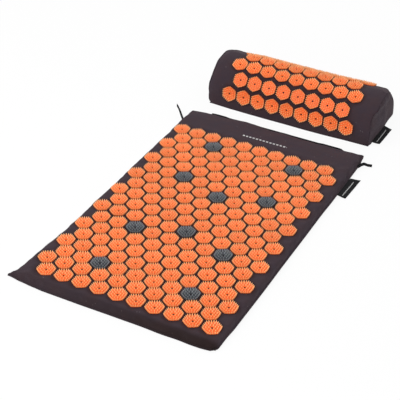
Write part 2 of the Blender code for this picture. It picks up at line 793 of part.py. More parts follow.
def build_pillow_base(parent, materials):
    """The flat base panel, turned up at the back to carry the zip."""
    depth = PILLOW_HALF_DEPTH
    edge = ZIP_HEIGHT - ZIP_OPENING / 2
    turn = PILLOW_TURN_UP
    profile = (
        (-depth, 0), (-depth, FABRIC), (depth - FABRIC - turn, FABRIC), (depth - FABRIC, FABRIC + turn),
        (depth - FABRIC, edge), (depth, edge), (depth, turn), (depth - turn / 2, turn / 4), (depth - turn, 0),
    )
    bm = bmesh.new()
    extrude_profile(bm, profile, ((-WRAP_HALF, 1.0), (WRAP_HALF, 1.0)))
    add_object("pillow_base_panel", bm, materials, parent)


def build_pillow_end(name, side, arch, parent, materials):
    """A domed end panel that closes the wrap and the base."""
    low = arch.length_at(0.0, -1)
    high = arch.length_at(0.0, 1)
    outline = []
    for step in range(PILLOW_ROUND_STEPS + 1):
        outline.append(arch.surface(0.0, low + (high - low) * step / PILLOW_ROUND_STEPS))
    centre = Vector((0, 0, PILLOW_HEIGHT * END_CENTRE_SHARE))
    start = WRAP_HALF + GAP
    bm = bmesh.new()

    def dome(shell_depth):
        rings = []
        for inset_share, rise_share in zip(END_INSET_SHARES, END_RISE_SHARES):
            ring = []
            for point in outline:
                place = point.lerp(centre, inset_share)
                rim = (centre - place).normalized() * shell_depth
                x = start + (END_BULGE - shell_depth) * rise_share
                ring.append(bm.verts.new((side * x, place.y + rim.y, max(place.z + rim.z, 0.0))))
            rings.append(ring)
        middle = bm.verts.new((side * (start + END_BULGE - shell_depth), centre.y, centre.z))
        for i, vert in enumerate(rings[-1]):
            bm.faces.new((vert, rings[-1][(i + 1) % len(rings[-1])], middle))
        return rings

    outer = dome(0.0)
    inner = dome(FABRIC)
    bridge_rings(bm, outer)
    bridge_rings(bm, inner)
    bridge_rings(bm, [outer[0], inner[0]])
    add_object(name, bm, materials, parent)


def build_pillow_core(parent, materials):
    """The foam block, flattened at the back so that the slider's back plate runs clear."""
    sunk = FABRIC + CORE_EASE
    arch = Arch(PILLOW_HALF_DEPTH - sunk, PILLOW_HEIGHT - sunk)
    base = FABRIC + GAP
    low = arch.length_at(base + PILLOW_TURN_UP, -1)
    high = arch.length_at(base + PILLOW_TURN_UP, 1)
    back_limit = PILLOW_HALF_DEPTH + SLIDER_BACK - GAP
    front_foot = -PILLOW_HALF_DEPTH + sunk + PILLOW_TURN_UP
    profile = [(front_foot, base)]
    for step in range(PILLOW_ROUND_STEPS + 1):
        point, _ = arch.place(low + (high - low) * step / PILLOW_ROUND_STEPS)
        profile.append((min(point.x, back_limit), point.y))
    profile.append((back_limit - PILLOW_TURN_UP, base))
    bm = bmesh.new()
    extrude_profile(bm, profile, ((-WRAP_HALF, 1.0), (WRAP_HALF, 1.0)))
    add_object("pillow_foam_core", bm, materials, parent)


# Labels and loops

def build_label(name, root, reach, parent, materials):
    """A woven flag label: its root at a seam, drooping to the floor. Root is (x, y middle, z)."""
    x, y, z = root
    half = LABEL_WIDTH / 2
    top_line = []
    low_height = LABEL_FLOOR_GAP + LABEL_THICKNESS
    for step in range(LABEL_STEPS + 1):
        share = step / LABEL_STEPS
        droop = share * share * (3 - 2 * share)
        top_line.append((x + reach * share, z + (low_height - z) * droop))
    bottom_line = [(px, pz - LABEL_THICKNESS) for px, pz in reversed(top_line)]
    bm = bmesh.new()
    ends = []
    for side_y in (y - half, y + half):
        ends.append([bm.verts.new((px, side_y, pz)) for px, pz in top_line + bottom_line])
    bridge_rings(bm, ends)
    bm.faces.new(ends[0])
    bm.faces.new(ends[1])
    add_object(name, bm, materials, parent)


def build_loop(name, side, materials):
    """A flat folded tape sewn at a side seam, swung towards the far end, its fold lifted a little."""
    y = HALF_LENGTH - LOOP_FROM_FAR_END
    root = Vector((side * (HALF_WIDTH - side_draw(y) + SEAM_FLANGE + GAP), y, SEAM_HEIGHT))
    run = Vector((side * math.cos(LOOP_SWING), math.sin(LOOP_SWING), 0))
    half_tape = LOOP_WIDTH / 2
    half_thick = LOOP_THICKNESS / 2
    bm = bmesh.new()
    rings = []
    for step in range(LOOP_STEPS + 1):
        share = step / LOOP_STEPS
        rise = LOOP_RISE * math.sin(math.pi / 2 * share)
        thick = half_thick if step < LOOP_STEPS else half_thick / 2
        near = root + run * LOOP_LENGTH * share + Vector((0, 0, rise))
        edge = Vector((0, 1, 0)) * half_tape if step == 0 else Vector((-run.y, run.x, 0)) * half_tape * side
        up = Vector((0, 0, thick))
        rings.append([bm.verts.new(near - edge - up), bm.verts.new(near + edge - up),
                      bm.verts.new(near + edge + up), bm.verts.new(near - edge + up)])
    bridge_rings(bm, rings)
    bm.faces.new(rings[0])
    bm.faces.new(rings[-1])
    add_object(name, bm, materials)


def build_mat(cover, orange, graphite, foam, tape, metal):
    """All of the mat's pieces."""
    bare_cells = build_mat_top([cover, orange])
    build_mat_bottom([cover])
    build_mat_core([foam])
    for index, cell in enumerate(bare_cells, start=1):
        centre = cell.centre + Vector((0, 0, GAP))
        build_disc(f"mat_graphite_disc_{index:02d}", centre, [graphite])
    line = add_empty("mat_zip_line", (0, HALF_LENGTH, ZIP_HEIGHT))
    build_zip("mat_zip", line, OPENING_HALF, PULL_OVERHANG, tape, metal)
    label_y = HALF_LENGTH - LABEL_FROM_FAR_END
    label_x = HALF_WIDTH - side_draw(label_y + LABEL_WIDTH / 2) + SEAM_FLANGE + GAP
    build_label("mat_side_label", (label_x, label_y, SEAM_HEIGHT), LABEL_REACH, None, [tape])
    build_loop("mat_left_loop", -1, [tape])
    build_loop("mat_right_loop", 1, [tape])


def build_pillow(cover, orange, foam, tape, metal):
    """All of the pillow's pieces, on an empty at the middle of its underside."""
    centre = (PILLOW_SIDE_STEP, HALF_LENGTH + PILLOW_AHEAD, 0)
    pillow = add_empty("pillow", centre, PILLOW_TURN)
    arch = build_wrap(pillow, [cover, orange])
    build_pillow_base(pillow, [cover])
    build_pillow_end("pillow_left_end", -1, arch, pillow, [cover])
    build_pillow_end("pillow_right_end", 1, arch, pillow, [cover])
    build_pillow_core(pillow, [foam])
    line = add_empty("pillow_zip_line", (0, PILLOW_HALF_DEPTH, ZIP_HEIGHT), 0.0, pillow)
    build_zip("pillow_zip", line, WRAP_HALF - GAP, PULL_OVERHANG, tape, metal)
    root_x = WRAP_HALF + 2 * GAP + END_BULGE * PILLOW_LABEL_ROOT_SHARE
    root = (root_x, PILLOW_LABEL_AHEAD, LABEL_THICKNESS + LABEL_FLOOR_GAP)
    build_label("pillow_end_label", root, PILLOW_LABEL_REACH, pillow, [tape])


def main():
    """Build the set."""
    clear_scene()
    cover = make_material("charcoal_cotton", CHARCOAL, 0.95)
    orange = make_material("orange_plastic", ORANGE, 0.38)
    graphite = make_material("graphite_plastic", GRAPHITE, 0.38)
    foam = make_material("cream_foam", FOAM_CREAM, 0.9)
    tape = make_material("black_tape", TAPE_BLACK, 0.8)
    metal = make_material("nickel", NICKEL, 0.3, 1.0)
    build_mat(cover, orange, graphite, foam, tape, metal)
    build_pillow(cover, orange, foam, tape, metal)


main()
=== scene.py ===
"""Acupressure mat and neck pillow: the visible pieces, built round the packed solids.

Metres, +Z up. +Y runs to the mat's head end and the pillow. +X is the side that carries the mat's flag label.
"""

import json
import math
import random

import bmesh
import bpy
from mathutils import Matrix, Vector, noise


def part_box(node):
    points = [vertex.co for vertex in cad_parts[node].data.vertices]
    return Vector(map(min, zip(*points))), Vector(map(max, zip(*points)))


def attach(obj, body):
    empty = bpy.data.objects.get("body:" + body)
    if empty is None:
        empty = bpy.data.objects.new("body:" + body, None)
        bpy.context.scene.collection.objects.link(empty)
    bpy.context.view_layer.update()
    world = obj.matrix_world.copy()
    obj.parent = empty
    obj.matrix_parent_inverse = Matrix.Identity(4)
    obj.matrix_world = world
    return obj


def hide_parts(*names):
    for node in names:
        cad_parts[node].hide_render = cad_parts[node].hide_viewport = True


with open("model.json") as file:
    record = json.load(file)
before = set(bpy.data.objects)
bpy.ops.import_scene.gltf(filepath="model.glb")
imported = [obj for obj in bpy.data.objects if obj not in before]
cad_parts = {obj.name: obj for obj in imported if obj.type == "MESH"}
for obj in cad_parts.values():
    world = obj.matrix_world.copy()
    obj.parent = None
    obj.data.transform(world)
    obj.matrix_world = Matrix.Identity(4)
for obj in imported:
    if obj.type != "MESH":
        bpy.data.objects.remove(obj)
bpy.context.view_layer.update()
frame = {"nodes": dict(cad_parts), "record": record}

bl_info = {
    "name": "Acupressure Mat and Pillow",
    "version": (1, 0, 0),
    "blender": (4, 5, 0),
    "location": "3D View > Sidebar > Acupressure",
    "description": "Builds the spiked mat, its pillow and their trim round the packed solids",
    "category": "Add Mesh",
}

RECORD = frame["record"]
NODES = frame["nodes"]
ROOT = "root"
GAP = 0.0003


def mount_place(name):
    """Where a mount of the packed record lies."""
    return Vector(next(mount["pos_m"] for mount in RECORD["mounts"] if mount["name"] == name))


FABRIC_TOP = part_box("mat_graphite_disc_01")[0].z - GAP
GRAPHITE_NODES = [f"mat_graphite_disc_{index:02d}" for index in range(1, 11)]


# Sizes and finishes that a user would change

def length(name, description, default):
    """A length property."""
    return bpy.props.FloatProperty(
        name=name, description=description, default=default, unit="LENGTH", precision=5,
    )


def number(name, description, default):
    """A plain number property."""
    return bpy.props.FloatProperty(name=name, description=description, default=default)


def amount(name, description, default):
    """A property for a number of rows or discs, one at least."""
    return bpy.props.IntProperty(name=name, description=description, default=default, min=1)


def colour(name, description, default):
    """A colour property."""
    return bpy.props.FloatVectorProperty(
        name=name, description=description, default=default, subtype="COLOR", size=3, min=0.0, max=1.0,
    )


class DiscSizes(bpy.types.PropertyGroup):
    """The spiked discs."""

    flats: length("Across flats", "Width of a disc between its flat sides", 0.0300)
    plate: length("Plate", "Thickness of the plate under the spikes", 0.0014)
    rim: length("Rim", "Chamfer round the plate's top", 0.0004)
    corner: length("Corner", "How far the plate's corners are rounded", 0.0040)
    hole: length("Hole", "Diameter of the hole in the middle", 0.0042)
    spike: length("Spike", "Height of a spike over the plate", 0.0046)
    spike_foot: length("Spike foot", "Radius of a spike at its foot", 0.0020)
    mat_gap: length("Mat gap", "Fabric between two discs on the mat", 0.0065)
    pillow_gap: length("Pillow gap", "Fabric between two discs of a row on the pillow", 0.0046)
    pillow_row_gap: length("Pillow row gap", "Fabric between two rows on the pillow", 0.00937)


class MatSizes(bpy.types.PropertyGroup):
    """The mat's cover."""

    half_width: length("Half width", "Half of the mat's width without its sewn edge", 0.200475)
    half_length: length("Half length", "Half of the mat's length without its sewn edge", 0.335652)
    near_margin: length("Near margin", "Bare fabric before the first row", 0.01365)
    fabric: length("Fabric", "Thickness of the cover fabric", 0.0012)
    roll: length("Roll", "Radius of the padded edge", 0.0078)
    turn: length("Turn", "Radius of the edge at the underside", 0.0035)
    seam: length("Seam", "Height of the sewn edge", 0.0055)
    flange: length("Sewn edge", "How far the sewn edge stands out", 0.0025)
    zip_height: length("Zip height", "Height of the zip's middle", 0.0085)
    zip_opening: length("Zip opening", "Height of the slot for the zip", 0.008)
    zip_half: length("Zip half", "Half of the zip's length", 0.15048)
    rows: amount("Rows", "Rows of discs", 18)
    columns: amount("Columns", "Discs in a row", 10)
    pressure: number("Filling", "Pressure that swells the cover", 4.0)


class PillowSizes(bpy.types.PropertyGroup):
    """The pillow's cover."""

    half_depth: length("Half depth", "Half of the pillow's depth", 0.0833)
    height: length("Height", "Height of the pillow's crown", 0.0915)
    half_length: length("Half length", "Half of the pillow's length between its ends", 0.1805)
    left_bulge: length("Left bulge", "How far the left end panel stands out", 0.0060)
    right_bulge: length("Right bulge", "How far the right end panel stands out", 0.0020)
    end_round: length("End round", "How far the wrap closes in at its ends", 0.0030)
    exponent: number("Fullness", "Squareness of the D section", 2.7)
    back_exponent: number("Back fullness", "Squareness of the section's depth behind the crown", 1.45)
    field_drop: length("Field drop", "How far the disc field lies in front of the crown", 0.0047)
    turn: bpy.props.FloatProperty(
        name="Turn", description="Turn against the mat", default=math.radians(-1.4), subtype="ANGLE",
    )
    rows: amount("Rows", "Rows of discs", 7)
    columns: amount("Columns", "Discs in a long row", 9)
    pressure: number("Filling", "Pressure that swells the cover", 3.0)


class TrimSizes(bpy.types.PropertyGroup):
    """Thread, labels, loops and zips."""

    stitch: length("Stitch", "Length of a stitch", 0.0024)
    stitch_step: length("Stitch step", "Distance from stitch to stitch", 0.0036)
    stitch_width: length("Thread", "Thickness of the thread", 0.0005)
    tooth_step: length("Tooth step", "Distance from tooth to tooth", 0.0016)
    label: length("Label", "Thickness of a label", 0.0008)
    loop_width: length("Loop width", "Width of a loop's tape", 0.0060)


class Finishes(bpy.types.PropertyGroup):
    """Colours."""

    cover: colour("Cover", "Cotton of both covers", (0.039, 0.0248, 0.0315))
    orange: colour("Orange", "Plastic of most discs", (0.88, 0.150, 0.020))
    # Painted highlight: the spikes' tips are painted paler than the orange plastic lower down.
    orange_lit_tip: colour("Orange tip", "Paler plastic of the spikes", (1.0, 0.60, 0.26))
    graphite: colour("Graphite", "Plastic of the dark discs", (0.026, 0.031, 0.040))
    # Painted highlight on the dark spikes' tips.
    graphite_lit_tip: colour("Graphite tip", "Paler plastic of the dark spikes", (0.30, 0.32, 0.34))
    tape: colour("Tape", "Labels, loops and zip tapes", (0.006, 0.006, 0.007))
    thread: colour("Thread", "Sewing thread", (0.030, 0.026, 0.030))
    foam: colour("Foam", "Foam inside", (0.80, 0.76, 0.62))
    print_white: colour("Print", "Pale marks on the labels and the mat", (0.80, 0.80, 0.80))
    metal: colour("Metal", "Zip sliders, pulls and stops", (0.62, 0.62, 0.62))


# Tools for modelling

def clear_selection():
    """Leave edit mode and deselect everything."""
    if bpy.context.mode != "OBJECT":
        bpy.ops.object.mode_set(mode="OBJECT")
    bpy.ops.object.select_all(action="DESELECT")


def select(*objects):
    """Select only these objects. The first becomes active."""
    clear_selection()
    for obj in objects:
        obj.select_set(True)
    bpy.context.view_layer.objects.active = objects[0]


def pick(obj, kind, test):
    """Enter edit mode with only those verts, edges or faces selected that pass the test."""
    select(obj)
    bpy.ops.object.mode_set(mode="EDIT")
    bpy.context.tool_settings.mesh_select_mode = (kind == "verts", kind == "edges", kind == "faces")
    bpy.ops.mesh.select_all(action="DESELECT")
    bm = bmesh.from_edit_mesh(obj.data)
    for item in getattr(bm, kind):
        if test(item):
            item.select_set(True)
    bm.select_flush_mode()
    bmesh.update_edit_mesh(obj.data)


def settle(obj):
    """Put an object's place, turn and size into its mesh."""
    select(obj)
    bpy.ops.object.transform_apply(location=True, rotation=True, scale=True)
    return obj


def primitive(add, **values):
    """The mesh that one of Blender's add operators makes, settled in its place."""
    clear_selection()
    add(**values)
    return settle(bpy.context.active_object)


def finish_modifiers(obj):
    """Apply all of an object's modifiers, in their order."""
    select(obj)
    for modifier in list(obj.modifiers):
        bpy.ops.object.modifier_apply(modifier=modifier.name)


def add_modifier(obj, kind, **values):
    """Add a modifier and set its values."""
    modifier = obj.modifiers.new(kind.title(), kind)
    for name, value in values.items():
        setattr(modifier, name, value)
    return modifier


def round_edges(obj, width, angle):
    """Bevel edges that are sharper than an angle in degrees."""
    add_modifier(obj, "BEVEL", width=width, segments=2, limit_method="ANGLE", angle_limit=math.radians(angle))


def rename(obj, name):
    """Name an object and its mesh alike."""
    obj.name = name
    obj.data.name = name
    return obj


def join(name, objects):
    """Join objects into the first and give it a name."""
    select(*objects)
    bpy.ops.object.join()
    return rename(bpy.context.view_layer.objects.active, name)


def copy_at(master, matrix):
    """A copy of an object with a mesh of its own, moved by a matrix in its mesh."""
    twin = bpy.data.objects.new(master.name, master.data.copy())
    twin.data.transform(matrix)
    bpy.context.scene.collection.objects.link(twin)
    return twin


def discard(obj):
    """Remove an object that only served as a model for others."""
    bpy.data.objects.remove(obj, do_unlink=True)


def dress(obj, material):
    """Give an object one material."""
    obj.data.materials.clear()
    obj.data.materials.append(material)


def coat(obj, look, angle):
    """Give an object a finish and smooth shading, with sharp edges past an angle in degrees."""
    dress(obj, finish(look))
    select(obj)
    bpy.ops.object.shade_smooth_by_angle(angle=math.radians(angle))


def set_down(obj, slot_name, *nodes, body=ROOT):
    """Let a finished piece ride on its body and hide the nodes that it stands for. Its slot name is not used.
    """
    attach(obj, body)
    if nodes:
        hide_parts(*nodes)


def mark(obj, name, values):
    """Store one number for each vertex, for the materials to read."""
    obj.data.attributes.new(name, "FLOAT", "POINT").data.foreach_set("value", values)


def mesh_object(name, verts, faces, uvs):
    """An object from lists of places and faces, with a UV for each place."""
    mesh = bpy.data.meshes.new(name)
    mesh.from_pydata(verts, [], faces)
    layer = mesh.uv_layers.new(name="UVMap")
    for loop in mesh.loops:
        layer.data[loop.index].uv = uvs[loop.vertex_index]
    mesh.update()
    obj = bpy.data.objects.new(name, mesh)
    bpy.context.scene.collection.objects.link(obj)
    return obj


def grid_faces(columns, rows):
    """Faces of a grid whose places run along each row."""
    faces = []
    for j in range(rows - 1):
        for i in range(columns - 1):
            low, high = j * columns + i, (j + 1) * columns + i
            faces.append((low, low + 1, high + 1, high))
    return faces


def smooth_share(share):
    """Ease a share in and out between zero and one."""
    share = max(0.0, min(1.0, share))
    return share * share * (3 - 2 * share)


def read_table(table, place):
    """A value between the points of a table, eased from one point to the next."""
    if place <= table[0][0]:
        return table[0][1]
    for (start, low), (end, high) in zip(table, table[1:]):
        if place <= end:
            return low + (high - low) * smooth_share((place - start) / (end - start))
    return table[-1][1]


def edge_steps(half, edge_places, step):
    """Places from minus half to half: the edge places at both ends, even steps between."""
    inner = half - edge_places[-1]
    count = max(1, round(2 * inner / step))
    middle = [inner * (2 * i / count - 1) for i in range(1, count)]
    left = [-half + place for place in edge_places]
    right = [half - place for place in reversed(edge_places)]
    return left + middle + right


CLOTH_VALUES = {
    "use_pressure": True, "shrink_min": -0.015, "quality": 6, "mass": 0.15, "tension_stiffness": 15.0,
    "compression_stiffness": 15.0, "shear_stiffness": 5.0, "bending_stiffness": 0.5,
}
CLOTH_FRAMES = 20


def swell(obj, held, pressure, travel):
    """Swell a fabric panel with Blender's cloth. Held vertices stay, and none moves further than travel."""
    rest = [vert.co.copy() for vert in obj.data.vertices]
    group = obj.vertex_groups.new(name="held")
    group.add(held, 1.0, "REPLACE")
    modifier = add_modifier(obj, "CLOTH")
    settings = modifier.settings
    settings.vertex_group_mass = group.name
    settings.effector_weights.gravity = 0.0
    settings.uniform_pressure_force = pressure
    for name, value in CLOTH_VALUES.items():
        setattr(settings, name, value)
    modifier.collision_settings.use_collision = False
    scene = bpy.context.scene
    scene.frame_start = 1
    scene.frame_end = CLOTH_FRAMES
    for number in range(1, CLOTH_FRAMES + 1):
        scene.frame_set(number)
    finish_modifiers(obj)
    scene.frame_set(1)
    for vert, start in zip(obj.data.vertices, rest):
        step = vert.co - start
        if step.length > travel:
            vert.co = start + step.normalized() * travel
    obj.vertex_groups.clear()


def finish_panel(panel, fabric, look, node, pillow=None, rounds=1):
    """Round a panel's facets so many times, thicken and finish it, and put it in its solid's place."""
    if rounds:
        add_modifier(panel, "SUBSURF", levels=rounds, render_levels=rounds)
    add_modifier(panel, "SOLIDIFY", thickness=fabric, offset=-1.0, use_even_offset=False)
    finish_modifiers(panel)
    if pillow is not None:
        lay_on_pillow(panel, pillow)
    coat(panel, look, 60.0)
    set_down(panel, "cover_fabric", node)


# Materials

WHITE = (1.0, 1.0, 1.0, 1.0)
PALE_GREY = (0.95, 0.95, 0.95, 1.0)


def node_group(name, inputs, outputs):
    """A shader node group with its graph, what comes in and where it goes out.

    Inputs give a number's default by its name, and None for a vector. All outputs are numbers.
    """
    group = bpy.data.node_groups.new(name, "ShaderNodeTree")
    for socket, default in inputs.items():
        kind = "NodeSocketVector" if default is None else "NodeSocketFloat"
        item = group.interface.new_socket(socket, in_out="INPUT", socket_type=kind)
        if default is not None:
            item.default_value = default
    for socket in outputs:
        group.interface.new_socket(socket, in_out="OUTPUT", socket_type="NodeSocketFloat")
    entry = group.nodes.new("NodeGroupInput")
    return group, Graph(group), entry.outputs, group.nodes.new("NodeGroupOutput")


class Graph:
    """Short ways to add and link nodes in one tree."""

    shared = {}

    def __init__(self, tree):
        self.tree = tree

    def fill(self, node, inputs):
        """Link or set a node's inputs."""
        for socket, value in inputs.items():
            if isinstance(value, bpy.types.NodeSocket):
                self.tree.links.new(value, node.inputs[socket])
            else:
                node.inputs[socket].default_value = value
        return node

    def add(self, kind, inputs, **values):
        """A new node. Its values are set before its inputs."""
        node = self.tree.nodes.new(kind)
        for name, value in values.items():
            setattr(node, name, value)
        return self.fill(node, inputs)

    def math(self, operation, first, second=0.0, clamp=False):
        """One number from two."""
        node = self.add("ShaderNodeMath", {0: first, 1: second}, operation=operation, use_clamp=clamp)
        return node.outputs[0]

    def product(self, first, *others):
        """Numbers multiplied in turn."""
        for other in others:
            first = self.math("MULTIPLY", first, other)
        return first

    def mix(self, share, first, second, blend="MIX"):
        """One colour from two."""
        node = self.add("ShaderNodeMix", {0: share, 6: first, 7: second}, data_type="RGBA", blend_type=blend)
        return node.outputs[2]

    def split(self, vector):
        """The three numbers of a vector."""
        return self.add("ShaderNodeSeparateXYZ", {0: vector}).outputs

    def attribute(self, name):
        """A number stored on the mesh."""
        return self.add("ShaderNodeAttribute", {}, attribute_name=name).outputs["Fac"]

    def noise(self, place, scale, detail):
        """Blender's noise texture."""
        return self.add("ShaderNodeTexNoise", {"Vector": place, "Scale": scale, "Detail": detail}).outputs[0]

    def bump(self, height, strength, distance):
        """A normal from a height."""
        inputs = {"Height": height, "Strength": strength, "Distance": distance}
        return self.add("ShaderNodeBump", inputs).outputs[0]

    def group(self, maker, **inputs):
        """What a shared node group gives. It is made when it is first asked for."""
        if maker not in self.shared:
            self.shared[maker] = maker()
        node = self.tree.nodes.new("ShaderNodeGroup")
        node.node_tree = self.shared[maker]
        return self.fill(node, inputs).outputs


def weave_group():
    """Plain weave: threads that pass over and under each other, uneven in thickness. Its Shade is painted
    shade on that relief: lighter where the threads stand higher, darker where they dip.
    """
    inputs = {"Vector": None, "Threads": 1600.0, "Unevenness": 0.35}
    group, g, entry, leave = node_group("plain_weave", inputs, ("Height", "Shade"))
    run = g.add("ShaderNodeVectorMath", {0: entry["Vector"]}, operation="SCALE")
    g.fill(run, {"Scale": entry["Threads"]})
    x, y, _ = g.split(run.outputs[0])
    crossing = g.product(g.math("SINE", g.product(x, math.pi)), g.math("SINE", g.product(y, math.pi)))
    slub = g.noise(entry["Vector"], 420.0, 3.0)
    uneven = g.product(g.math("SUBTRACT", slub, 0.5), entry["Unevenness"])
    height = g.math("ADD", g.product(crossing, 0.5), g.product(uneven, 2.0))
    tone = g.math("ADD", g.product(height, 0.25), 0.5, clamp=True)
    g.fill(leave, {"Height": height, "Shade": tone})
    return group


def mottle_group():
    """Soft uneven patches, as in dyed cotton or moulded plastic."""
    group, g, entry, leave = node_group("soft_mottle", {"Vector": None, "Scale": 30.0}, ("Mask",))
    patches = g.noise(entry["Vector"], entry["Scale"], 4.0)
    ramp = g.add("ShaderNodeMapRange", {0: patches, 1: 0.35, 2: 0.65, 3: 0.0, 4: 1.0})
    g.fill(leave, {"Mask": ramp.outputs[0]})
    return group


def lint_group():
    """Sparse pale specks of lint and dust."""
    inputs = {"Vector": None, "Scale": 260.0, "Amount": 0.10}
    group, g, entry, leave = node_group("lint_specks", inputs, ("Mask",))
    cells = g.add("ShaderNodeTexVoronoi", {"Vector": entry["Vector"], "Scale": entry["Scale"]})
    near = g.math("LESS_THAN", cells.outputs["Distance"], 0.16)
    parts = g.add("ShaderNodeSeparateColor", {0: cells.outputs["Color"]})
    g.fill(leave, {"Mask": g.product(near, g.math("LESS_THAN", parts.outputs[0], entry["Amount"]))})
    return group


BAR_SHARE = 0.58


def bars_group():
    """A row of short plain bars on the flat pattern, from Left to Right and from Low to High, in metres."""
    inputs = {"Vector": None, "Left": 0.0, "Right": 0.1, "Low": 0.0, "High": 0.01, "Step": 0.01}
    group, g, entry, leave = node_group("plain_bars", inputs, ("Mask",))
    x, y, _ = g.split(entry["Vector"])
    inside = g.product(
        g.math("GREATER_THAN", x, entry["Left"]), g.math("LESS_THAN", x, entry["Right"]),
        g.math("GREATER_THAN", y, entry["Low"]), g.math("LESS_THAN", y, entry["High"]),
    )
    run = g.math("DIVIDE", g.math("SUBTRACT", x, entry["Left"]), entry["Step"])
    g.fill(leave, {"Mask": g.product(inside, g.math("LESS_THAN", g.math("FRACT", run), BAR_SHARE))})
    return group


def start_material(name, roughness, metallic=0.0, specular=0.5):
    """A new material with its graph, its Principled shader and its coordinates."""
    material = bpy.data.materials.new(name)
    material.use_nodes = True
    g = Graph(material.node_tree)
    shader = material.node_tree.nodes["Principled BSDF"]
    g.fill(shader, {"Roughness": roughness, "Metallic": metallic, "Specular IOR Level": specular})
    return material, g, shader, g.add("ShaderNodeTexCoord", {}).outputs


def scaled(colour_value, factor):
    """A colour as four numbers, made lighter or darker by a factor."""
    return (*(min(1.0, part * factor) for part in colour_value), 1.0)


# Painted shade that two attributes ask for, as the colours the cotton is darkened to: the first between the
# discs and at the pillow's foot, tinted red like orange light thrown back by the discs; the second on the
# near hem.
CLOTH_SHADOWS = (("pressed", (0.42, 0.18, 0.16, 1.0)), ("hem", (0.25, 0.13, 0.08, 1.0)))
MAT_MARKS = {"Left": -0.049, "Right": 0.053, "Low": 0.2735, "High": 0.2775, "Step": 0.0078}


def cotton_material(name, base, marks=None):
    """Dyed cotton: weave with painted shade in its dips, uneven dye, a little lint, a soft sheen, and painted
    shade where the mesh's shade attributes ask for it. A marks colour adds a row of bars.
    """
    material, g, shader, place = start_material(name, 0.92, specular=0.25)
    weave = g.group(weave_group, Vector=place["UV"], Threads=1700.0)
    mottle = g.group(mottle_group, Vector=place["Object"], Scale=38.0)
    lint = g.group(lint_group, Vector=place["Object"], Scale=230.0, Amount=0.05)
    cool = (base[0] * 0.94, base[1] * 0.98, base[2] * 1.06, 1.0)
    warm = (base[0] * 1.06, base[1] * 1.00, base[2] * 0.98, 1.0)
    # Painted shade on the weave: lighter where the threads stand higher, darker in the dips.
    threads = g.mix(weave["Shade"], (0.72, 0.72, 0.72, 1.0), (1.28, 1.28, 1.28, 1.0))
    dyed_and_weave_shaded = g.mix(1.0, g.mix(mottle["Mask"], cool, warm), threads, "MULTIPLY")
    shown = g.mix(g.product(lint["Mask"], 0.30), dyed_and_weave_shaded, (0.42, 0.40, 0.40, 1.0))
    # Painted shade that the mesh's attributes carry: between the discs, at the pillow's foot and on the near
    # hem.
    for attribute, shadow in CLOTH_SHADOWS:
        shown = g.mix(1.0, shown, g.mix(g.attribute(attribute), WHITE, shadow), "MULTIPLY")
    if marks is not None:
        bars = g.group(bars_group, Vector=place["UV"], **MAT_MARKS)
        shown = g.mix(bars["Mask"], shown, scaled(marks, 0.75))
    g.fill(shader, {
        "Base Color": shown, "Normal": g.bump(weave["Height"], 0.35, 0.00025),
        "Sheen Weight": 0.05, "Sheen Tint": (1.0, 0.84, 0.92, 1.0), "Sheen Roughness": 0.5,
    })
    return material


def plastic_material(name, base, tip, roughness=0.42):
    """Moulded plastic, paler towards the spikes' tips as a painted highlight, with each disc a little lighter
    or darker.
    """
    material, g, shader, place = start_material(name, roughness)
    mottle = g.group(mottle_group, Vector=place["Object"], Scale=300.0)["Mask"]
    # Painted highlight: the colour grows paler from the plate up to the spikes' tips.
    graded = g.mix(g.math("POWER", g.attribute("tip"), 0.8), (*base, 1.0), (*tip, 1.0))
    tone = g.math("ADD", g.product(g.attribute("shade"), 0.09), 1.0)
    tone = g.math("ADD", tone, g.product(g.math("SUBTRACT", mottle, 0.5), 0.08))
    grey = g.add("ShaderNodeCombineColor", {0: tone, 1: tone, 2: tone}).outputs[0]
    g.fill(shader, {
        "Base Color": g.mix(1.0, graded, grey, "MULTIPLY"),
        "Normal": g.bump(g.noise(place["Object"], 1800.0, 2.0), 0.12, 0.0001),
        "Roughness": g.math("ADD", g.product(mottle, 0.10), roughness - 0.05),
    })
    return material


LINE_MIDDLE = (0.52, 0.46)
LINE_HALF = (0.05, 0.38)
LINE_DASHES = 15.0
DASH_SHARE = 0.72


def tape_material(name, base, line=None, rib=900.0):
    """Woven tape with fine ribs, painted lighter on their tops and darker in their dips as painted highlight
    and shade. A line colour draws a thin broken line along the piece's middle.
    """
    material, g, shader, place = start_material(name, 0.80, specular=0.15)
    weave = g.group(weave_group, Vector=place["Object"], Threads=rib, Unevenness=0.2)
    # Painted highlight and shade on the ribs: lighter on their tops, darker in their dips.
    cloth = g.mix(weave["Shade"], scaled(base, 0.6), scaled(base, 1.6))
    if line is not None:
        parts = g.split(place["UV"])
        drawn = g.math("LESS_THAN", g.math("FRACT", g.product(parts[1], LINE_DASHES)), DASH_SHARE)
        for part, middle, half in zip(parts, LINE_MIDDLE, LINE_HALF):
            away = g.math("ABSOLUTE", g.math("SUBTRACT", part, middle))
            drawn = g.product(drawn, g.math("LESS_THAN", away, half))
        cloth = g.mix(drawn, cloth, scaled(line, 0.6))
    g.fill(shader, {"Base Color": cloth, "Normal": g.bump(weave["Height"], 0.3, 0.0002)})
    return material


def foam_material(name, base):
    """Open-cell foam with small pores, painted darker inside them as painted shade."""
    material, g, shader, place = start_material(name, 0.95, specular=0.2)
    cells = g.add("ShaderNodeTexVoronoi", {"Vector": place["Object"], "Scale": 900.0})
    pores = cells.outputs["Distance"]
    mottle = g.group(mottle_group, Vector=place["Object"], Scale=25.0)
    tone = g.mix(mottle["Mask"], scaled(base, 0.90), scaled(base, 1.0))
    # Painted shade in the pores.
    pore_shaded = g.mix(g.math("LESS_THAN", pores, 0.25), tone, scaled(base, 0.55))
    g.fill(shader, {"Base Color": pore_shaded, "Normal": g.bump(pores, 0.5, 0.0004)})
    return material


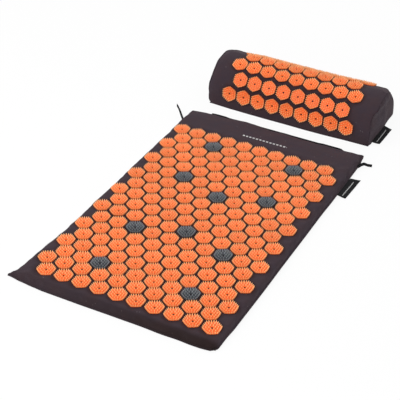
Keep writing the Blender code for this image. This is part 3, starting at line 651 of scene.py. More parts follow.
def metal_material(name, base):
    """Plated zip metal with fine scratches and duller wear."""
    material, g, shader, place = start_material(name, 0.28, metallic=1.0)
    mottle = g.group(mottle_group, Vector=place["Object"], Scale=400.0)["Mask"]
    g.fill(shader, {
        "Base Color": g.mix(mottle, scaled(base, 0.85), scaled(base, 1.1)),
        "Normal": g.bump(g.noise(place["Object"], 2500.0, 2.0), 0.08, 0.0001),
        "Roughness": g.math("ADD", g.product(mottle, 0.18), 0.20),
    })
    return material


MATERIALS = {}


def finish(name):
    """The named finish, made when it is first asked for."""
    if name not in MATERIALS:
        colours = bpy.context.scene.acupressure_finishes
        pale = colours.print_white
        makers = {
            "cover": lambda: cotton_material("charcoal_cotton", colours.cover),
            "marked_cover": lambda: cotton_material("marked_cotton", colours.cover, pale),
            "orange": lambda: plastic_material("orange_plastic", colours.orange, colours.orange_lit_tip),
            "graphite": lambda: plastic_material(
                "graphite_plastic", colours.graphite, colours.graphite_lit_tip, roughness=0.38,
            ),
            "tape": lambda: tape_material("black_tape", colours.tape),
            "label": lambda: tape_material("label_tape", colours.tape, pale),
            "thread": lambda: tape_material("sewing_thread", colours.thread, rib=3000.0),
            "foam": lambda: foam_material("cream_foam", colours.foam),
            "metal": lambda: metal_material("nickel_plate", colours.metal),
        }
        MATERIALS[name] = makers[name]()
    return MATERIALS[name]


# Discs

# Of each ring: spikes on each of its six sides, radius to its corners, lean in degrees
SPIKE_RINGS = ((4, 0.0156, 25.0), (2, 0.0104, 15.0), (1, 0.0053, 6.0))
RING_ROUNDNESS = 0.35
SPIKE_SIDES = 5
SPIKE_WAIST_SHARE = 0.50
SPIKE_WAIST_WIDTH = 1.25
HOLE_SIDES = 10
DISC_SPIN = 1.6
DISC_TILT = 0.9
MAT_SEED = 11
PILLOW_SEED = 23


def model_plate(sizes):
    """A hexagonal plate, its corners at +Y and -Y, with rounded corners, a chamfered rim and a round hole."""
    plate = primitive(
        bpy.ops.mesh.primitive_cylinder_add, vertices=6, radius=sizes.flats / math.sqrt(3), depth=sizes.plate,
        location=(0, 0, sizes.plate / 2),
    )
    pick(plate, "edges", lambda edge: abs(edge.verts[0].co.z - edge.verts[1].co.z) > sizes.plate / 2)
    bpy.ops.mesh.bevel(offset=sizes.corner, segments=3)
    pick(plate, "edges", lambda edge: min(vert.co.z for vert in edge.verts) > sizes.plate / 2)
    bpy.ops.mesh.bevel(offset=sizes.rim, segments=1)
    add = bpy.ops.mesh.primitive_cylinder_add
    punch = primitive(add, vertices=HOLE_SIDES, radius=sizes.hole / 2, depth=sizes.plate * 3)
    add_modifier(plate, "BOOLEAN", object=punch, operation="DIFFERENCE", solver="EXACT")
    finish_modifiers(plate)
    discard(punch)
    return plate


def model_spike(sizes):
    """A spike on the origin, drawn in at its waist."""
    height = sizes.spike + GAP
    spike = primitive(
        bpy.ops.mesh.primitive_cone_add, vertices=SPIKE_SIDES, radius1=sizes.spike_foot, radius2=0.0,
        depth=height, location=(0, 0, height / 2),
    )
    waist = (0, 0, height * SPIKE_WAIST_SHARE)
    pick(spike, "verts", lambda vert: True)
    bpy.ops.mesh.bisect(plane_co=waist, plane_no=(0, 0, 1))
    bpy.ops.transform.resize(value=(SPIKE_WAIST_WIDTH, SPIKE_WAIST_WIDTH, 1), center_override=waist)
    clear_selection()
    return spike


def spike_places():
    """Place, direction and lean of each spike, in hexagonal rings."""
    places = []
    for per_side, radius, lean in SPIKE_RINGS:
        angles = [math.radians(30 + 60 * step) for step in range(7)]
        corners = [Vector((radius * math.cos(angle), radius * math.sin(angle), 0)) for angle in angles]
        rounded = radius * (1 + math.cos(math.radians(30))) / 2
        for start, end in zip(corners, corners[1:]):
            for index in range(per_side):
                place = start.lerp(end, index / per_side)
                place *= 1 + RING_ROUNDNESS * (rounded / place.length - 1)
                places.append((place, math.atan2(place.y, place.x), math.radians(lean)))
    return places


def model_disc(sizes):
    """A whole disc on the origin. Its tip attribute is zero on the plate and one at the spikes' tips; the
    materials paint a highlight by it.
    """
    parts = [model_plate(sizes)]
    spike = model_spike(sizes)
    foot = Vector((0, 0, sizes.plate - GAP))
    for place, direction, lean in spike_places():
        turn = Matrix.Rotation(direction, 4, "Z") @ Matrix.Rotation(lean, 4, "Y")
        parts.append(copy_at(spike, Matrix.Translation(place + foot) @ turn))
    discard(spike)
    disc = join("disc_model", parts)
    heights = [(vert.co.z - sizes.plate) / sizes.spike for vert in disc.data.vertices]
    mark(disc, "tip", [max(0.0, min(1.0, height)) for height in heights])
    return disc


def small_turn(chance, most, axis):
    """A chance turn about an axis, by so many degrees at most."""
    return Matrix.Rotation(math.radians(chance.uniform(-most, most)), 4, axis)


def lay_discs(name, model, places, chance, look):
    """Copies of the disc, each a little turned, tilted and toned by itself, joined to one piece."""
    copies = []
    for place in places:
        spin = small_turn(chance, DISC_SPIN, "Z")
        tilt = small_turn(chance, DISC_TILT, "X")
        lean = small_turn(chance, DISC_TILT, "Y")
        twin = copy_at(model, place @ lean @ tilt @ spin)
        mark(twin, "shade", [chance.random()] * len(twin.data.vertices))
        copies.append(twin)
    laid = join(name, copies) if len(copies) > 1 else rename(copies[0], name)
    coat(laid, look, 35.0)
    return laid


# y of a row, and how far its left end and its right end drift along x and y
FIELD_DRIFT = (
    (-0.289, -0.0007, 0.0008, 0.0022, 0.0013), (-0.210, 0.0009, -0.0033, 0.0036, -0.0024),
    (-0.131, 0.0011, -0.0046, 0.0026, -0.0013), (-0.052, 0.0004, -0.0014, 0.0015, -0.0019),
    (0.043, 0.0012, 0.0002, 0.0003, -0.0010), (0.138, 0.0021, 0.0023, 0.0006, -0.0008),
    (0.217, 0.0019, 0.0014, 0.0009, 0.0005),
)
DRIFT_WIDTH = 0.284


def field_drift(x, y):
    """How far the drawn cloth carries a disc from its place in the even field."""
    left_x, left_y, right_x, right_y = (
        read_table([(row[0], row[part]) for row in FIELD_DRIFT], y) for part in range(1, 5)
    )
    share = x / DRIFT_WIDTH + 0.5
    return Vector((left_x + (right_x - left_x) * share, left_y + (right_y - left_y) * share, 0))


def mat_field(sizes, discs):
    """Middle of each disc place on the mat, row by row."""
    pitch = discs.flats + discs.mat_gap
    step = pitch * math.sqrt(3) / 2
    first = -sizes.half_length + sizes.near_margin + discs.flats / math.sqrt(3)
    places = []
    for row in range(sizes.rows):
        stagger = 0.25 if row % 2 == 0 else -0.25
        for column in range(sizes.columns):
            x = (column - (sizes.columns - 1) / 2 + stagger) * pitch
            y = first + row * step
            places.append(Vector((x, y, FABRIC_TOP)) + field_drift(x, y))
    return places


def graphite_places():
    """Middle of each graphite disc, on the fabric."""
    places = {}
    for node in GRAPHITE_NODES:
        low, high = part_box(node)
        x, y = (low.x + high.x) / 2, (low.y + high.y) / 2
        places[node] = Vector((x, y, low.z)) + field_drift(x, y)
    return places


class ACUPRESSURE_OT_mat_discs(bpy.types.Operator):
    """Build the mat's orange and graphite discs"""

    bl_idname = "acupressure.mat_discs"
    bl_label = "Mat Discs"

    def execute(self, context):
        sizes = context.scene.acupressure_discs
        chance = random.Random(MAT_SEED)
        model = model_disc(sizes)
        dark = graphite_places()
        orange = []
        for place in mat_field(context.scene.acupressure_mat, sizes):
            if all((place - other).xy.length > sizes.flats / 2 for other in dark.values()):
                orange.append(Matrix.Translation(place - Vector((0, 0, GAP))))
        field = lay_discs("mat_orange_discs", model, orange, chance, "orange")
        set_down(field, "orange_disc", "mat_top_cover")
        for node, place in dark.items():
            name = node.replace("mat_", "mat_spiked_")
            disc = lay_discs(name, model, [Matrix.Translation(place)], chance, "graphite")
            set_down(disc, "graphite_disc", node)
        discard(model)
        return {"FINISHED"}


# The mat's cover

# Along each edge: a place on it, and how far the cloth is pulled there
LEFT_EDGE = (
    (-0.336, -0.0185), (-0.322, -0.0095), (-0.306, -0.0044), (-0.290, -0.0030), (-0.250, -0.0014),
    (-0.210, 0.0022), (-0.170, 0.0038), (-0.130, 0.0044), (-0.080, 0.0038), (0.020, 0.0050), (0.075, 0.0044),
    (0.240, 0.0050), (0.336, 0.0040),
)
RIGHT_EDGE = (
    (-0.336, -0.0030), (-0.305, -0.0016), (-0.270, 0.0001), (-0.150, 0.0006), (-0.070, 0.0), (0.018, 0.0),
    (0.110, -0.0004), (0.160, 0.0004), (0.300, 0.0), (0.336, -0.0020),
)
NEAR_EDGE = (
    (-0.200, 0.0058), (-0.170, 0.0018), (-0.150, -0.0004), (-0.127, -0.0020), (-0.060, -0.0020),
    (0.0, -0.0013), (0.056, -0.0010), (0.100, -0.0022), (0.133, -0.0013), (0.155, -0.0022), (0.175, -0.0018),
    (0.190, 0.0), (0.200, 0.0025),
)
NEAR_PULL_PARTS = 6
FAR_PULL_PARTS = 8
NEAR_SEAM_DROP = 0.0030
FAR_SAG = (
    (-0.200, 0.0030), (-0.168, 0.0035), (-0.119, 0.0040), (-0.095, 0.0022), (-0.071, 0.0), (-0.047, 0.0012),
    (-0.024, 0.0032), (0.0, 0.0040), (0.023, 0.0026), (0.046, 0.0040), (0.070, 0.0045), (0.115, 0.0042),
    (0.200, 0.0042),
)
FAR_EDGE = (
    (-0.200, -0.0095), (-0.158, -0.0010), (-0.126, -0.0005), (0.150, -0.0005), (0.170, 0.0010), (0.200, 0.0),
)
FLAP_SAG = (
    (-0.122, 0.0), (-0.108, 0.0015), (-0.095, 0.0008), (-0.071, 0.0), (-0.047, 0.0006), (-0.024, 0.0015),
    (0.0, 0.0015), (0.023, 0.0008), (0.046, 0.0015), (0.095, 0.0015), (0.112, 0.0),
)
# A corner's sides along x and y, with its radius, or with its reach and value
CORNER_ROUNDS = ((1, -1, 0.009), (1, 1, 0.003), (-1, 1, 0.006))
EARS = ((-1, -1, 0.040, 0.65), (1, -1, 0.024, 0.50), (1, 1, 0.020, 0.15))
CORNER_LIFTS = ((1, 1, 0.030, 0.0042), (-1, 1, 0.024, 0.0022))
DISC_EDGE = 0.0155
GAP_SHADE_REACH = 0.009
MAT_GAP_SHADE = 0.8
HEM_SHADE_REACH = 0.016
HEM_SHADE_LEFT = 0.36
HEM_SHADE_GAIN = 0.59
HEM_WIDTH = 0.4
ZIP_EASE = 0.012
ZIP_SEAM_DRAW = 0.68
ZIP_SEAM_START = 0.010
ZIP_SEAM_REACH = 0.006
FAR_SAG_START = 0.042
FAR_SAG_REACH = 0.036
# Of each noise in a ripple: weight, the two scales, and seed
FAR_WAVES = ((1.0, 17, 10, 3.1), (0.5, 38, 22, 7.7))
PUCKERS = ((1.0, 95, 20, 1.7), (0.6, 210, 0, 5.3))
FAR_WAVE_LEVEL = 0.35
FAR_WAVE_HEIGHT = 0.0012
FAR_WAVE_START = 0.100
FAR_WAVE_RISE = 0.03
FAR_WAVE_FALL = 0.02
NEAR_DROP_REACH = 0.030
PUCKER_HEIGHT = 0.00055
PUCKER_UPRIGHT = 1.5
PUCKER_START = 0.0015
PUCKER_REACH = 0.020
HELD_SIDE = 0.001
HELD_CORNER = 0.0012
MAT_SWELL = 0.0045
LEAST_SWELL = -0.0002
CALM_START = 0.020
CALM_REACH = 0.015
CALM_SHARE = 0.8
EDGE_EXPONENT = 2.4
CORNER_EXPONENT = 5
EDGE_PLACES = (0.0, 0.0003, 0.0012, 0.0027, 0.0048, 0.0078, 0.0125)
PANEL_STEP = 0.0065


def round_corner(x, y, sizes):
    """Move a point of the mat's square outline in where its corner is rounded."""
    for side_x, side_y, radius in CORNER_ROUNDS:
        from_x = sizes.half_width - side_x * x
        from_y = sizes.half_length - side_y * y
        if from_x < radius and from_y < radius:
            u, v = 1 - from_x / radius, 1 - from_y / radius
            u, v = u * math.sqrt(1 - min(v, 1) ** 2 / 2), v * math.sqrt(1 - min(u, 1) ** 2 / 2)
            x = side_x * (sizes.half_width - radius * (1 - u))
            return x, side_y * (sizes.half_length - radius * (1 - v))
    return x, y


def zip_share(x, y, sizes):
    """One along the zip's opening at the far edge, easing to zero past its ends."""
    if y < 0:
        return 0.0
    return smooth_share((sizes.zip_half + ZIP_EASE - abs(x)) / ZIP_EASE)


def mat_place(x, y, sizes):
    """Where a point of the flat pattern lies, after the cover's drawn and wavy edges."""
    flat_x, flat_y = round_corner(x, y, sizes)
    share_x = (x / sizes.half_width + 1) / 2
    share_y = (y / sizes.half_length + 1) / 2
    pull_left = read_table(LEFT_EDGE, y) * smooth_share(1 - 2 * share_x)
    pull_right = read_table(RIGHT_EDGE, y) * smooth_share(2 * share_x - 1)
    pull_near = read_table(NEAR_EDGE, x) * smooth_share(1 - NEAR_PULL_PARTS * share_y)
    pull_far = read_table(FAR_EDGE, x) * smooth_share(FAR_PULL_PARTS * share_y - (FAR_PULL_PARTS - 1))
    return flat_x + pull_left + pull_right, flat_y + pull_near + pull_far


def edge_depth(x, y, roll, sizes):
    """Zero on the flat of the mat, one at its outline, rising over the rolled edge."""
    u = max(0.0, 1 - (sizes.half_width - abs(x)) / roll)
    v = max(0.0, 1 - (sizes.half_length - abs(y)) / roll)
    return min(1.0, (u ** CORNER_EXPONENT + v ** CORNER_EXPONENT) ** (1 / CORNER_EXPONENT))


def corner_shares(x, y, corners, sizes):
    """The largest of some corners' values at a point. Each fades out over its reach."""
    most = 0.0
    for side_x, side_y, reach, value in corners:
        away = math.hypot(x - side_x * sizes.half_width, y - side_y * sizes.half_length)
        most = max(most, value * smooth_share(1 - away / reach))
    return most


def gap_shade(x, y, centres):
    """Painted shade: how dark the fabric is painted at a point between the discs, and under them."""
    nearest = min(math.hypot(x - centre.x, y - centre.y) for centre in centres)
    return smooth_share(1 - (nearest - DISC_EDGE) / GAP_SHADE_REACH)


def hem_shade(x, y, sizes):
    """Painted shade on the rolled near hem: how dark the fabric is painted there, more towards the right."""
    towards_right = smooth_share(x / HEM_WIDTH + 0.5)
    at_hem = smooth_share(1 - (y + sizes.half_length) / HEM_SHADE_REACH)
    return at_hem * (HEM_SHADE_LEFT + HEM_SHADE_GAIN * towards_right)


def far_sag(x, y, sizes):
    """How far the cover and the foam sink towards the far edge, in waves."""
    return read_table(FAR_SAG, x) * smooth_share((y - (sizes.half_length - FAR_SAG_START)) / FAR_SAG_REACH)


def ripple(noises, x, y):
    """A sum of noises at a place."""
    total = 0.0
    for weight, scale_x, scale_y, seed in noises:
        total += weight * noise.noise(Vector((x * scale_x, y * scale_y, seed)))
    return total


def far_wave(x, y, sizes):
    """Low waves in the bare fabric towards the far end."""
    share = smooth_share((y - (sizes.half_length - FAR_WAVE_START)) / FAR_WAVE_RISE)
    share *= smooth_share((sizes.half_length - y) / FAR_WAVE_FALL)
    return max(0.0, FAR_WAVE_LEVEL + ripple(FAR_WAVES, x, y)) * FAR_WAVE_HEIGHT * share


def panel_points(sizes, height):
    """Places and UVs of a panel, with its number of columns and rows. Height gives a point's z.

    The grid's lines run along the sewn edge and the rolled edge, and in even steps between.
    """
    xs, ys = (
        [-half - sizes.flange, *edge_steps(half, EDGE_PLACES, PANEL_STEP), half + sizes.flange]
        for half in (sizes.half_width, sizes.half_length)
    )
    verts, uvs = [], []
    for y in ys:
        for x in xs:
            inner_x = max(-sizes.half_width, min(sizes.half_width, x))
            inner_y = max(-sizes.half_length, min(sizes.half_length, y))
            px, py = mat_place(inner_x, inner_y, sizes)
            reach = 1.0
            if y > sizes.half_length:
                reach = 1 - ZIP_SEAM_DRAW * zip_share(x, y, sizes)
            px += x - inner_x
            py += (y - inner_y) * reach
            verts.append((px, py, height(inner_x, inner_y, sizes)))
            uvs.append((x, y))
    return verts, uvs, len(xs), len(ys)


def seam_height(x, y, sizes, side):
    """Outer height of the sewn edge: of the top panel's for side 1, of the bottom panel's for side -1."""
    lift = corner_shares(x, y, CORNER_LIFTS, sizes)
    plain = sizes.seam + side * GAP / 2 + side * sizes.fabric + lift
    opened = sizes.zip_height + side * sizes.zip_opening / 2 + side * sizes.fabric
    if side > 0:
        opened -= read_table(FLAP_SAG, x)
    at_far = smooth_share((y - sizes.half_length + ZIP_SEAM_START) / ZIP_SEAM_REACH)
    near_drop = NEAR_SEAM_DROP * smooth_share(1 - (sizes.half_length + y) / NEAR_DROP_REACH)
    return plain + (opened - plain) * zip_share(x, y, sizes) * at_far - near_drop


def pucker(x, y, sizes):
    """Small gathers that run in from the seam."""
    from_side, from_end = sizes.half_width - abs(x), sizes.half_length - abs(y)
    from_edge = min(from_side, from_end)
    fade = smooth_share(from_edge / PUCKER_START) * smooth_share(1 - from_edge / PUCKER_REACH)
    along = y if from_side < from_end else x
    return ripple(PUCKERS, along, from_edge) * PUCKER_HEIGHT * fade


def roll_share(depth):
    """Height over the rolled edge: one on the flat, zero at the outline."""
    return max(0.0, 1 - depth ** EDGE_EXPONENT) ** (1 / EDGE_EXPONENT)


def top_height(x, y, sizes):
    """Height of the top panel before it is filled."""
    seam = seam_height(x, y, sizes, 1)
    rise = (FABRIC_TOP - seam) * (1 - corner_shares(x, y, EARS, sizes))
    return seam + rise * roll_share(edge_depth(x, y, sizes.roll, sizes))


def bottom_height(x, y, sizes):
    """Height of the bottom panel."""
    return seam_height(x, y, sizes, -1) * (1 - roll_share(edge_depth(x, y, sizes.turn, sizes)))


def build_mat_top(sizes, discs):
    """The top panel: flat under each disc, puffy between and around them."""
    verts, uvs, columns, rows = panel_points(sizes, top_height)
    top = mesh_object("mat_top_panel", verts, grid_faces(columns, rows), uvs)
    centres = mat_field(sizes, discs)
    half = discs.flats / 2 + HELD_SIDE
    corner = discs.flats / math.sqrt(3) + HELD_CORNER
    held = []
    for index, (x, y, _) in enumerate(verts):
        row, column = divmod(index, columns)
        on_edge = row < 2 or column < 2 or row > rows - 3 or column > columns - 3
        if on_edge or any(abs(x - centre.x) < half and abs(y - centre.y) < corner for centre in centres):
            held.append(index)
    swell(top, held, sizes.pressure, MAT_SWELL)
    last_row = max(centre.y for centre in centres)
    for index in set(range(len(verts))) - set(held):
        vert = top.data.vertices[index]
        x, y = uvs[index]
        vert.co.z = max(vert.co.z, verts[index][2] + LEAST_SWELL)
        calm = smooth_share((y - last_row - CALM_START) / CALM_REACH)
        vert.co.z -= max(0.0, vert.co.z - FABRIC_TOP) * calm * CALM_SHARE
        vert.co.z += far_wave(x, y, sizes) - far_sag(x, y, sizes)
        normal = Vector((x / sizes.half_width, y / sizes.half_length, PUCKER_UPRIGHT)).normalized()
        vert.co += normal * pucker(x, y, sizes)
    # Painted shade between the discs.
    mark(top, "pressed", [MAT_GAP_SHADE * gap_shade(x, y, centres) for x, y in uvs])
    # Painted shade along the near hem.
    mark(top, "hem", [hem_shade(x, y, sizes) for x, y in uvs])
    finish_panel(top, sizes.fabric, "marked_cover", "mat_top_cover")


def build_mat_bottom(sizes):
    """The bottom panel, turned up at its edges."""
    verts, uvs, columns, rows = panel_points(sizes, bottom_height)
    faces = [tuple(reversed(face)) for face in grid_faces(columns, rows)]
    bottom = mesh_object("mat_bottom_panel", verts, faces, uvs)
    finish_panel(bottom, sizes.fabric, "cover", "mat_bottom_cover", rounds=0)


class ACUPRESSURE_OT_mat_cover(bpy.types.Operator):
    """Build the mat's top and bottom panels"""

    bl_idname = "acupressure.mat_cover"
    bl_label = "Mat Cover"

    def execute(self, context):
        sizes = context.scene.acupressure_mat
        build_mat_top(sizes, context.scene.acupressure_discs)
        build_mat_bottom(sizes)
        return {"FINISHED"}


# Foam

FOAM_ROOM = 0.0070
FOAM_FOOT = 0.0015
FOAM_SLACK = 0.0008
FOAM_EDGE_PLACES = (0.0, 0.004, 0.012, 0.020, 0.030)
FOAM_STEP = 0.02
FOAM_DRAW = (0.95, 0.97, 0.97)
FOAM_SAG = 1.1
FOAM_EAR = 0.8


def dress_foam(foam, node, rounding):
    """Soften a foam block's edges, finish it and put it in its solid's place."""
    round_edges(foam, rounding, 50.0)
    finish_modifiers(foam)
    coat(foam, "foam", 50.0)
    set_down(foam, "foam", node)


def model_mat_foam(sizes):
    """The slab inside the mat. It follows the cover's outline."""
    xs = edge_steps(sizes.half_width - FOAM_ROOM, FOAM_EDGE_PLACES, FOAM_STEP)
    ys = edge_steps(sizes.half_length - FOAM_ROOM, FOAM_EDGE_PLACES, FOAM_STEP)
    pattern = [(x, y) for y in ys for x in xs]
    verts = [(*mat_place(x, y, sizes), FOAM_FOOT) for x, y in pattern]
    slab = mesh_object("mat_foam_slab", verts, grid_faces(len(xs), len(ys)), pattern)
    thickness = FABRIC_TOP - sizes.fabric - GAP - FOAM_SLACK - FOAM_FOOT
    add_modifier(slab, "SOLIDIFY", thickness=thickness, offset=1.0)
    finish_modifiers(slab)
    for index, vert in enumerate(slab.data.vertices):
        if vert.co.z > FABRIC_TOP / 2:
            x, y = pattern[index % len(pattern)]
            ear = corner_shares(x, y, EARS, sizes)
            vert.co.z -= FOAM_SAG * far_sag(x, y, sizes) + FOAM_EAR * FABRIC_TOP * ear
    dress_foam(slab, "mat_foam_core", 0.003)


def model_pillow_foam(pillow):
    """The block inside the pillow: its solid, drawn in from the cover."""
    block = rename(copy_at(NODES["pillow_foam_core"], pillow_frame(pillow).inverted()), "pillow_foam_block")
    pick(block, "verts", lambda vert: True)
    bpy.ops.mesh.remove_doubles(threshold=0.00001)
    bpy.ops.transform.resize(value=FOAM_DRAW, center_override=(0, 0, FOAM_FOOT))
    clear_selection()
    lay_on_pillow(block, pillow)
    dress_foam(block, "pillow_foam_core", 0.001)


class ACUPRESSURE_OT_foam(bpy.types.Operator):
    """Build the foam inside the mat and the pillow"""

    bl_idname = "acupressure.foam"
    bl_label = "Foam"

    def execute(self, context):
        model_mat_foam(context.scene.acupressure_mat)
        model_pillow_foam(context.scene.acupressure_pillow)
        return {"FINISHED"}


# Stitches

STITCH_OUT_SHARE = 0.45
STITCH_RISE = 0.3
OUTLINE_STEPS = 90
EDGE_TOLERANCE = 1e-6


def model_stitch(trim):
    """One stitch along x on the origin."""
    stitch = primitive(
        bpy.ops.mesh.primitive_cylinder_add, vertices=6, radius=trim.stitch_width / 2, depth=trim.stitch,
        rotation=(0, math.radians(90), 0),
    )
    pick(stitch, "faces", lambda face: abs(face.normal.x) > 0.9)
    bpy.ops.mesh.inset(thickness=trim.stitch_width / 5, depth=trim.stitch_width / 4)
    clear_selection()
    return stitch


def stitch_path(sizes, trim):
    """Places round the mat's sewn edge, a little out from the seam."""
    w, h = sizes.half_width, sizes.half_length
    out = sizes.flange * STITCH_OUT_SHARE
    corners = ((-w, -h), (w, -h), (w, h), (-w, h), (-w, -h))
    path = []
    for (start_x, start_y), (end_x, end_y) in zip(corners, corners[1:]):
        for i in range(OUTLINE_STEPS):
            x = start_x + (end_x - start_x) * i / OUTLINE_STEPS
            y = start_y + (end_y - start_y) * i / OUTLINE_STEPS
            side_x = x / w if abs(x) > w - EDGE_TOLERANCE else 0
            side_y = y / h if abs(y) > h - EDGE_TOLERANCE else 0
            side = Vector((side_x, side_y, 0))
            share = 1 - ZIP_SEAM_DRAW * zip_share(x, y, sizes) if side.y > 0 else 1.0
            height = seam_height(x, y, sizes, 1) + trim.stitch_width * STITCH_RISE
            path.append(Vector((*mat_place(x, y, sizes), height)) + side * out * share)
    return [*path, path[0]]


def lay_stitches(name, model, path, step):
    """Stitches along a path of places, as one piece."""
    copies = []
    travelled = 0.0
    for start, end in zip(path, path[1:]):
        run = end - start
        turn = run.to_track_quat("X", "Z").to_matrix().to_4x4()
        while travelled < run.length:
            place = start + run * (travelled / run.length)
            copies.append(copy_at(model, Matrix.Translation(place) @ turn))
            travelled += step
        travelled -= run.length
    laid = join(name, copies)
    coat(laid, "thread", 50.0)
    return laid


class ACUPRESSURE_OT_stitches(bpy.types.Operator):
    """Build the row of stitches round the mat's sewn edge"""

    bl_idname = "acupressure.stitches"
    bl_label = "Stitches"

    def execute(self, context):
        trim = context.scene.acupressure_trim
        model = model_stitch(trim)
        path = stitch_path(context.scene.acupressure_mat, trim)
        set_down(lay_stitches("mat_edge_stitches", model, path, trim.stitch_step), "cover_fabric")
        discard(model)
        return {"FINISHED"}


# Labels and loops

LABEL_STEPS = (8, 6)
LABEL_DROOP_EXPONENT = 0.8
LABEL_RIPPLE = 0.0006
LABEL_RIPPLE_ALONG = 7.0
LABEL_RIPPLE_ACROSS = 2.0
LABEL_ROUNDING = 0.00025
# Name, node, heights at the root and outside, and the corners, two at the root and two outside
LABELS = (
    ("mat_flag_label", "mat_side_label", (0.0056, 0.0014),
     ((0.2025, 0.1845), (0.2040, 0.2520), (0.2206, 0.1860), (0.2238, 0.2615))),
    ("pillow_flag_label", "pillow_end_label", (0.0050, 0.0014),
     ((0.1915, 0.4043), (0.1900, 0.4819), (0.2080, 0.4105), (0.2102, 0.4790))),
)


def model_label(name, heights, corners, thickness):
    """A woven label between two root places and two outer places, drooping to the floor."""
    root_a, root_b, outer_a, outer_b = (Vector(corner) for corner in corners)
    columns, rows = LABEL_STEPS
    verts, uvs = [], []
    for j in range(rows + 1):
        across = j / rows
        droop = smooth_share(across ** LABEL_DROOP_EXPONENT)
        for i in range(columns + 1):
            along = i / columns
            place = root_a.lerp(root_b, along).lerp(outer_a.lerp(outer_b, along), across)
            wave = math.sin(along * LABEL_RIPPLE_ALONG + across * LABEL_RIPPLE_ACROSS)
            z = heights[0] + (heights[1] - heights[0]) * droop + max(0.0, LABEL_RIPPLE * wave * across)
            verts.append((place.x, place.y, z))
            uvs.append((across, along))
    label = mesh_object(name, verts, grid_faces(columns + 1, rows + 1), uvs)
    add_modifier(label, "SOLIDIFY", thickness=thickness, offset=0.0)
    round_edges(label, LABEL_ROUNDING, 60.0)
    finish_modifiers(label)
    pick(label, "faces", lambda face: True)
    bpy.ops.mesh.normals_make_consistent(inside=False)
    clear_selection()
    coat(label, "label", 50.0)
    return label


class ACUPRESSURE_OT_labels(bpy.types.Operator):
    """Build the flag labels of the mat and the pillow"""

    bl_idname = "acupressure.labels"
    bl_label = "Labels"

    def execute(self, context):
        for name, node, heights, corners in LABELS:
            label = model_label(name, heights, corners, context.scene.acupressure_trim.label)
            set_down(label, "black_tape", node)
        return {"FINISHED"}


# Name, node, and the places that the folded tape runs through
LOOPS = (
    ("mat_left_tape_loop", "mat_left_loop",
     ((-0.1990, 0.2905, 0.0062), (-0.2075, 0.2990, 0.0095), (-0.2181, 0.3111, 0.0120),
      (-0.2270, 0.3205, 0.0138), (-0.2345, 0.3277, 0.0140))),
    ("mat_right_tape_loop", "mat_right_loop",
     ((0.2021, 0.2985, 0.0062), (0.2060, 0.3065, 0.0080), (0.2098, 0.3137, 0.0075),
      (0.2170, 0.3160, 0.0050), (0.2253, 0.3189, 0.0045))),
)
LOOP_SUBSTEPS = 4
LOOP_SPREAD = 0.0011
LOOP_SPREAD_START = 0.25
LOOP_LEAST_SPREAD = 0.35
LOOP_TAPE = 0.0007
LOOP_FLOOR = 0.0006


def model_loop(name, route, width):
    """A folded tape: out along the route and back beside it, with a fold at the tip."""
    points = [Vector(place) for place in route]
    steps = [step / LOOP_SUBSTEPS for step in range(LOOP_SUBSTEPS)]
    fine = [start.lerp(end, step) for start, end in zip(points, points[1:]) for step in steps]
    fine.append(points[-1])
    there, back = [], []
    for index, place in enumerate(fine):
        ahead = fine[min(index + 1, len(fine) - 1)] - fine[max(index - 1, 0)]
        side = Vector((-ahead.y, ahead.x, 0)).normalized()
        opened = math.sin(math.pi * min(1.0, LOOP_SPREAD_START + index / len(fine)))
        share = max(LOOP_LEAST_SPREAD, opened)
        there.append(place + side * LOOP_SPREAD * share)
        back.append(place - side * LOOP_SPREAD * share)
    path = there + back[::-1]
    verts, uvs = [], []
    for index, place in enumerate(path):
        for along in (-0.5, 0.0, 0.5):
            verts.append((place.x, place.y, max(LOOP_FLOOR, place.z + along * width)))
            uvs.append((along + 0.5, index / len(path)))
    loop = mesh_object(name, verts, grid_faces(3, len(path)), uvs)
    add_modifier(loop, "SUBSURF", levels=1, render_levels=1)
    add_modifier(loop, "SOLIDIFY", thickness=LOOP_TAPE, offset=0.0)
    finish_modifiers(loop)
    coat(loop, "tape", 50.0)
    return loop


class ACUPRESSURE_OT_loops(bpy.types.Operator):
    """Build the two tape loops at the mat's far corners"""

    bl_idname = "acupressure.loops"
    bl_label = "Loops"

    def execute(self, context):
        for name, node, route in LOOPS:
            loop = model_loop(name, route, context.scene.acupressure_trim.loop_width)
            set_down(loop, "black_tape", node)
        return {"FINISHED"}


# Zips

ZIP_SET_BACK = 0.0020
TAPE_THICKNESS = 0.0005
COIL_WIDTH = 0.0016
TOOTH_HEIGHT = 0.0014
PILLOW_ZIP_END = 0.1705
TAPE_SPAN = (0.0006, 0.0058)
TOOTH_SHARE = 0.55
TOOTH_ROUND_SHARE = 0.14
TOOTH_STARTS = {1: 0.75, -1: 0.25}
TAPE_ROUND_SHARE = 0.3
COIL_OVERLAP = 0.6


def model_tooth(step):
    """One coil tooth on the origin, rounded."""
    add = bpy.ops.mesh.primitive_cube_add
    tooth = primitive(add, size=1.0, scale=(step * TOOTH_SHARE, TOOTH_HEIGHT, COIL_WIDTH))
    pick(tooth, "edges", lambda edge: True)
    bpy.ops.mesh.bevel(offset=step * TOOTH_ROUND_SHARE, segments=1)
    clear_selection()
    return tooth


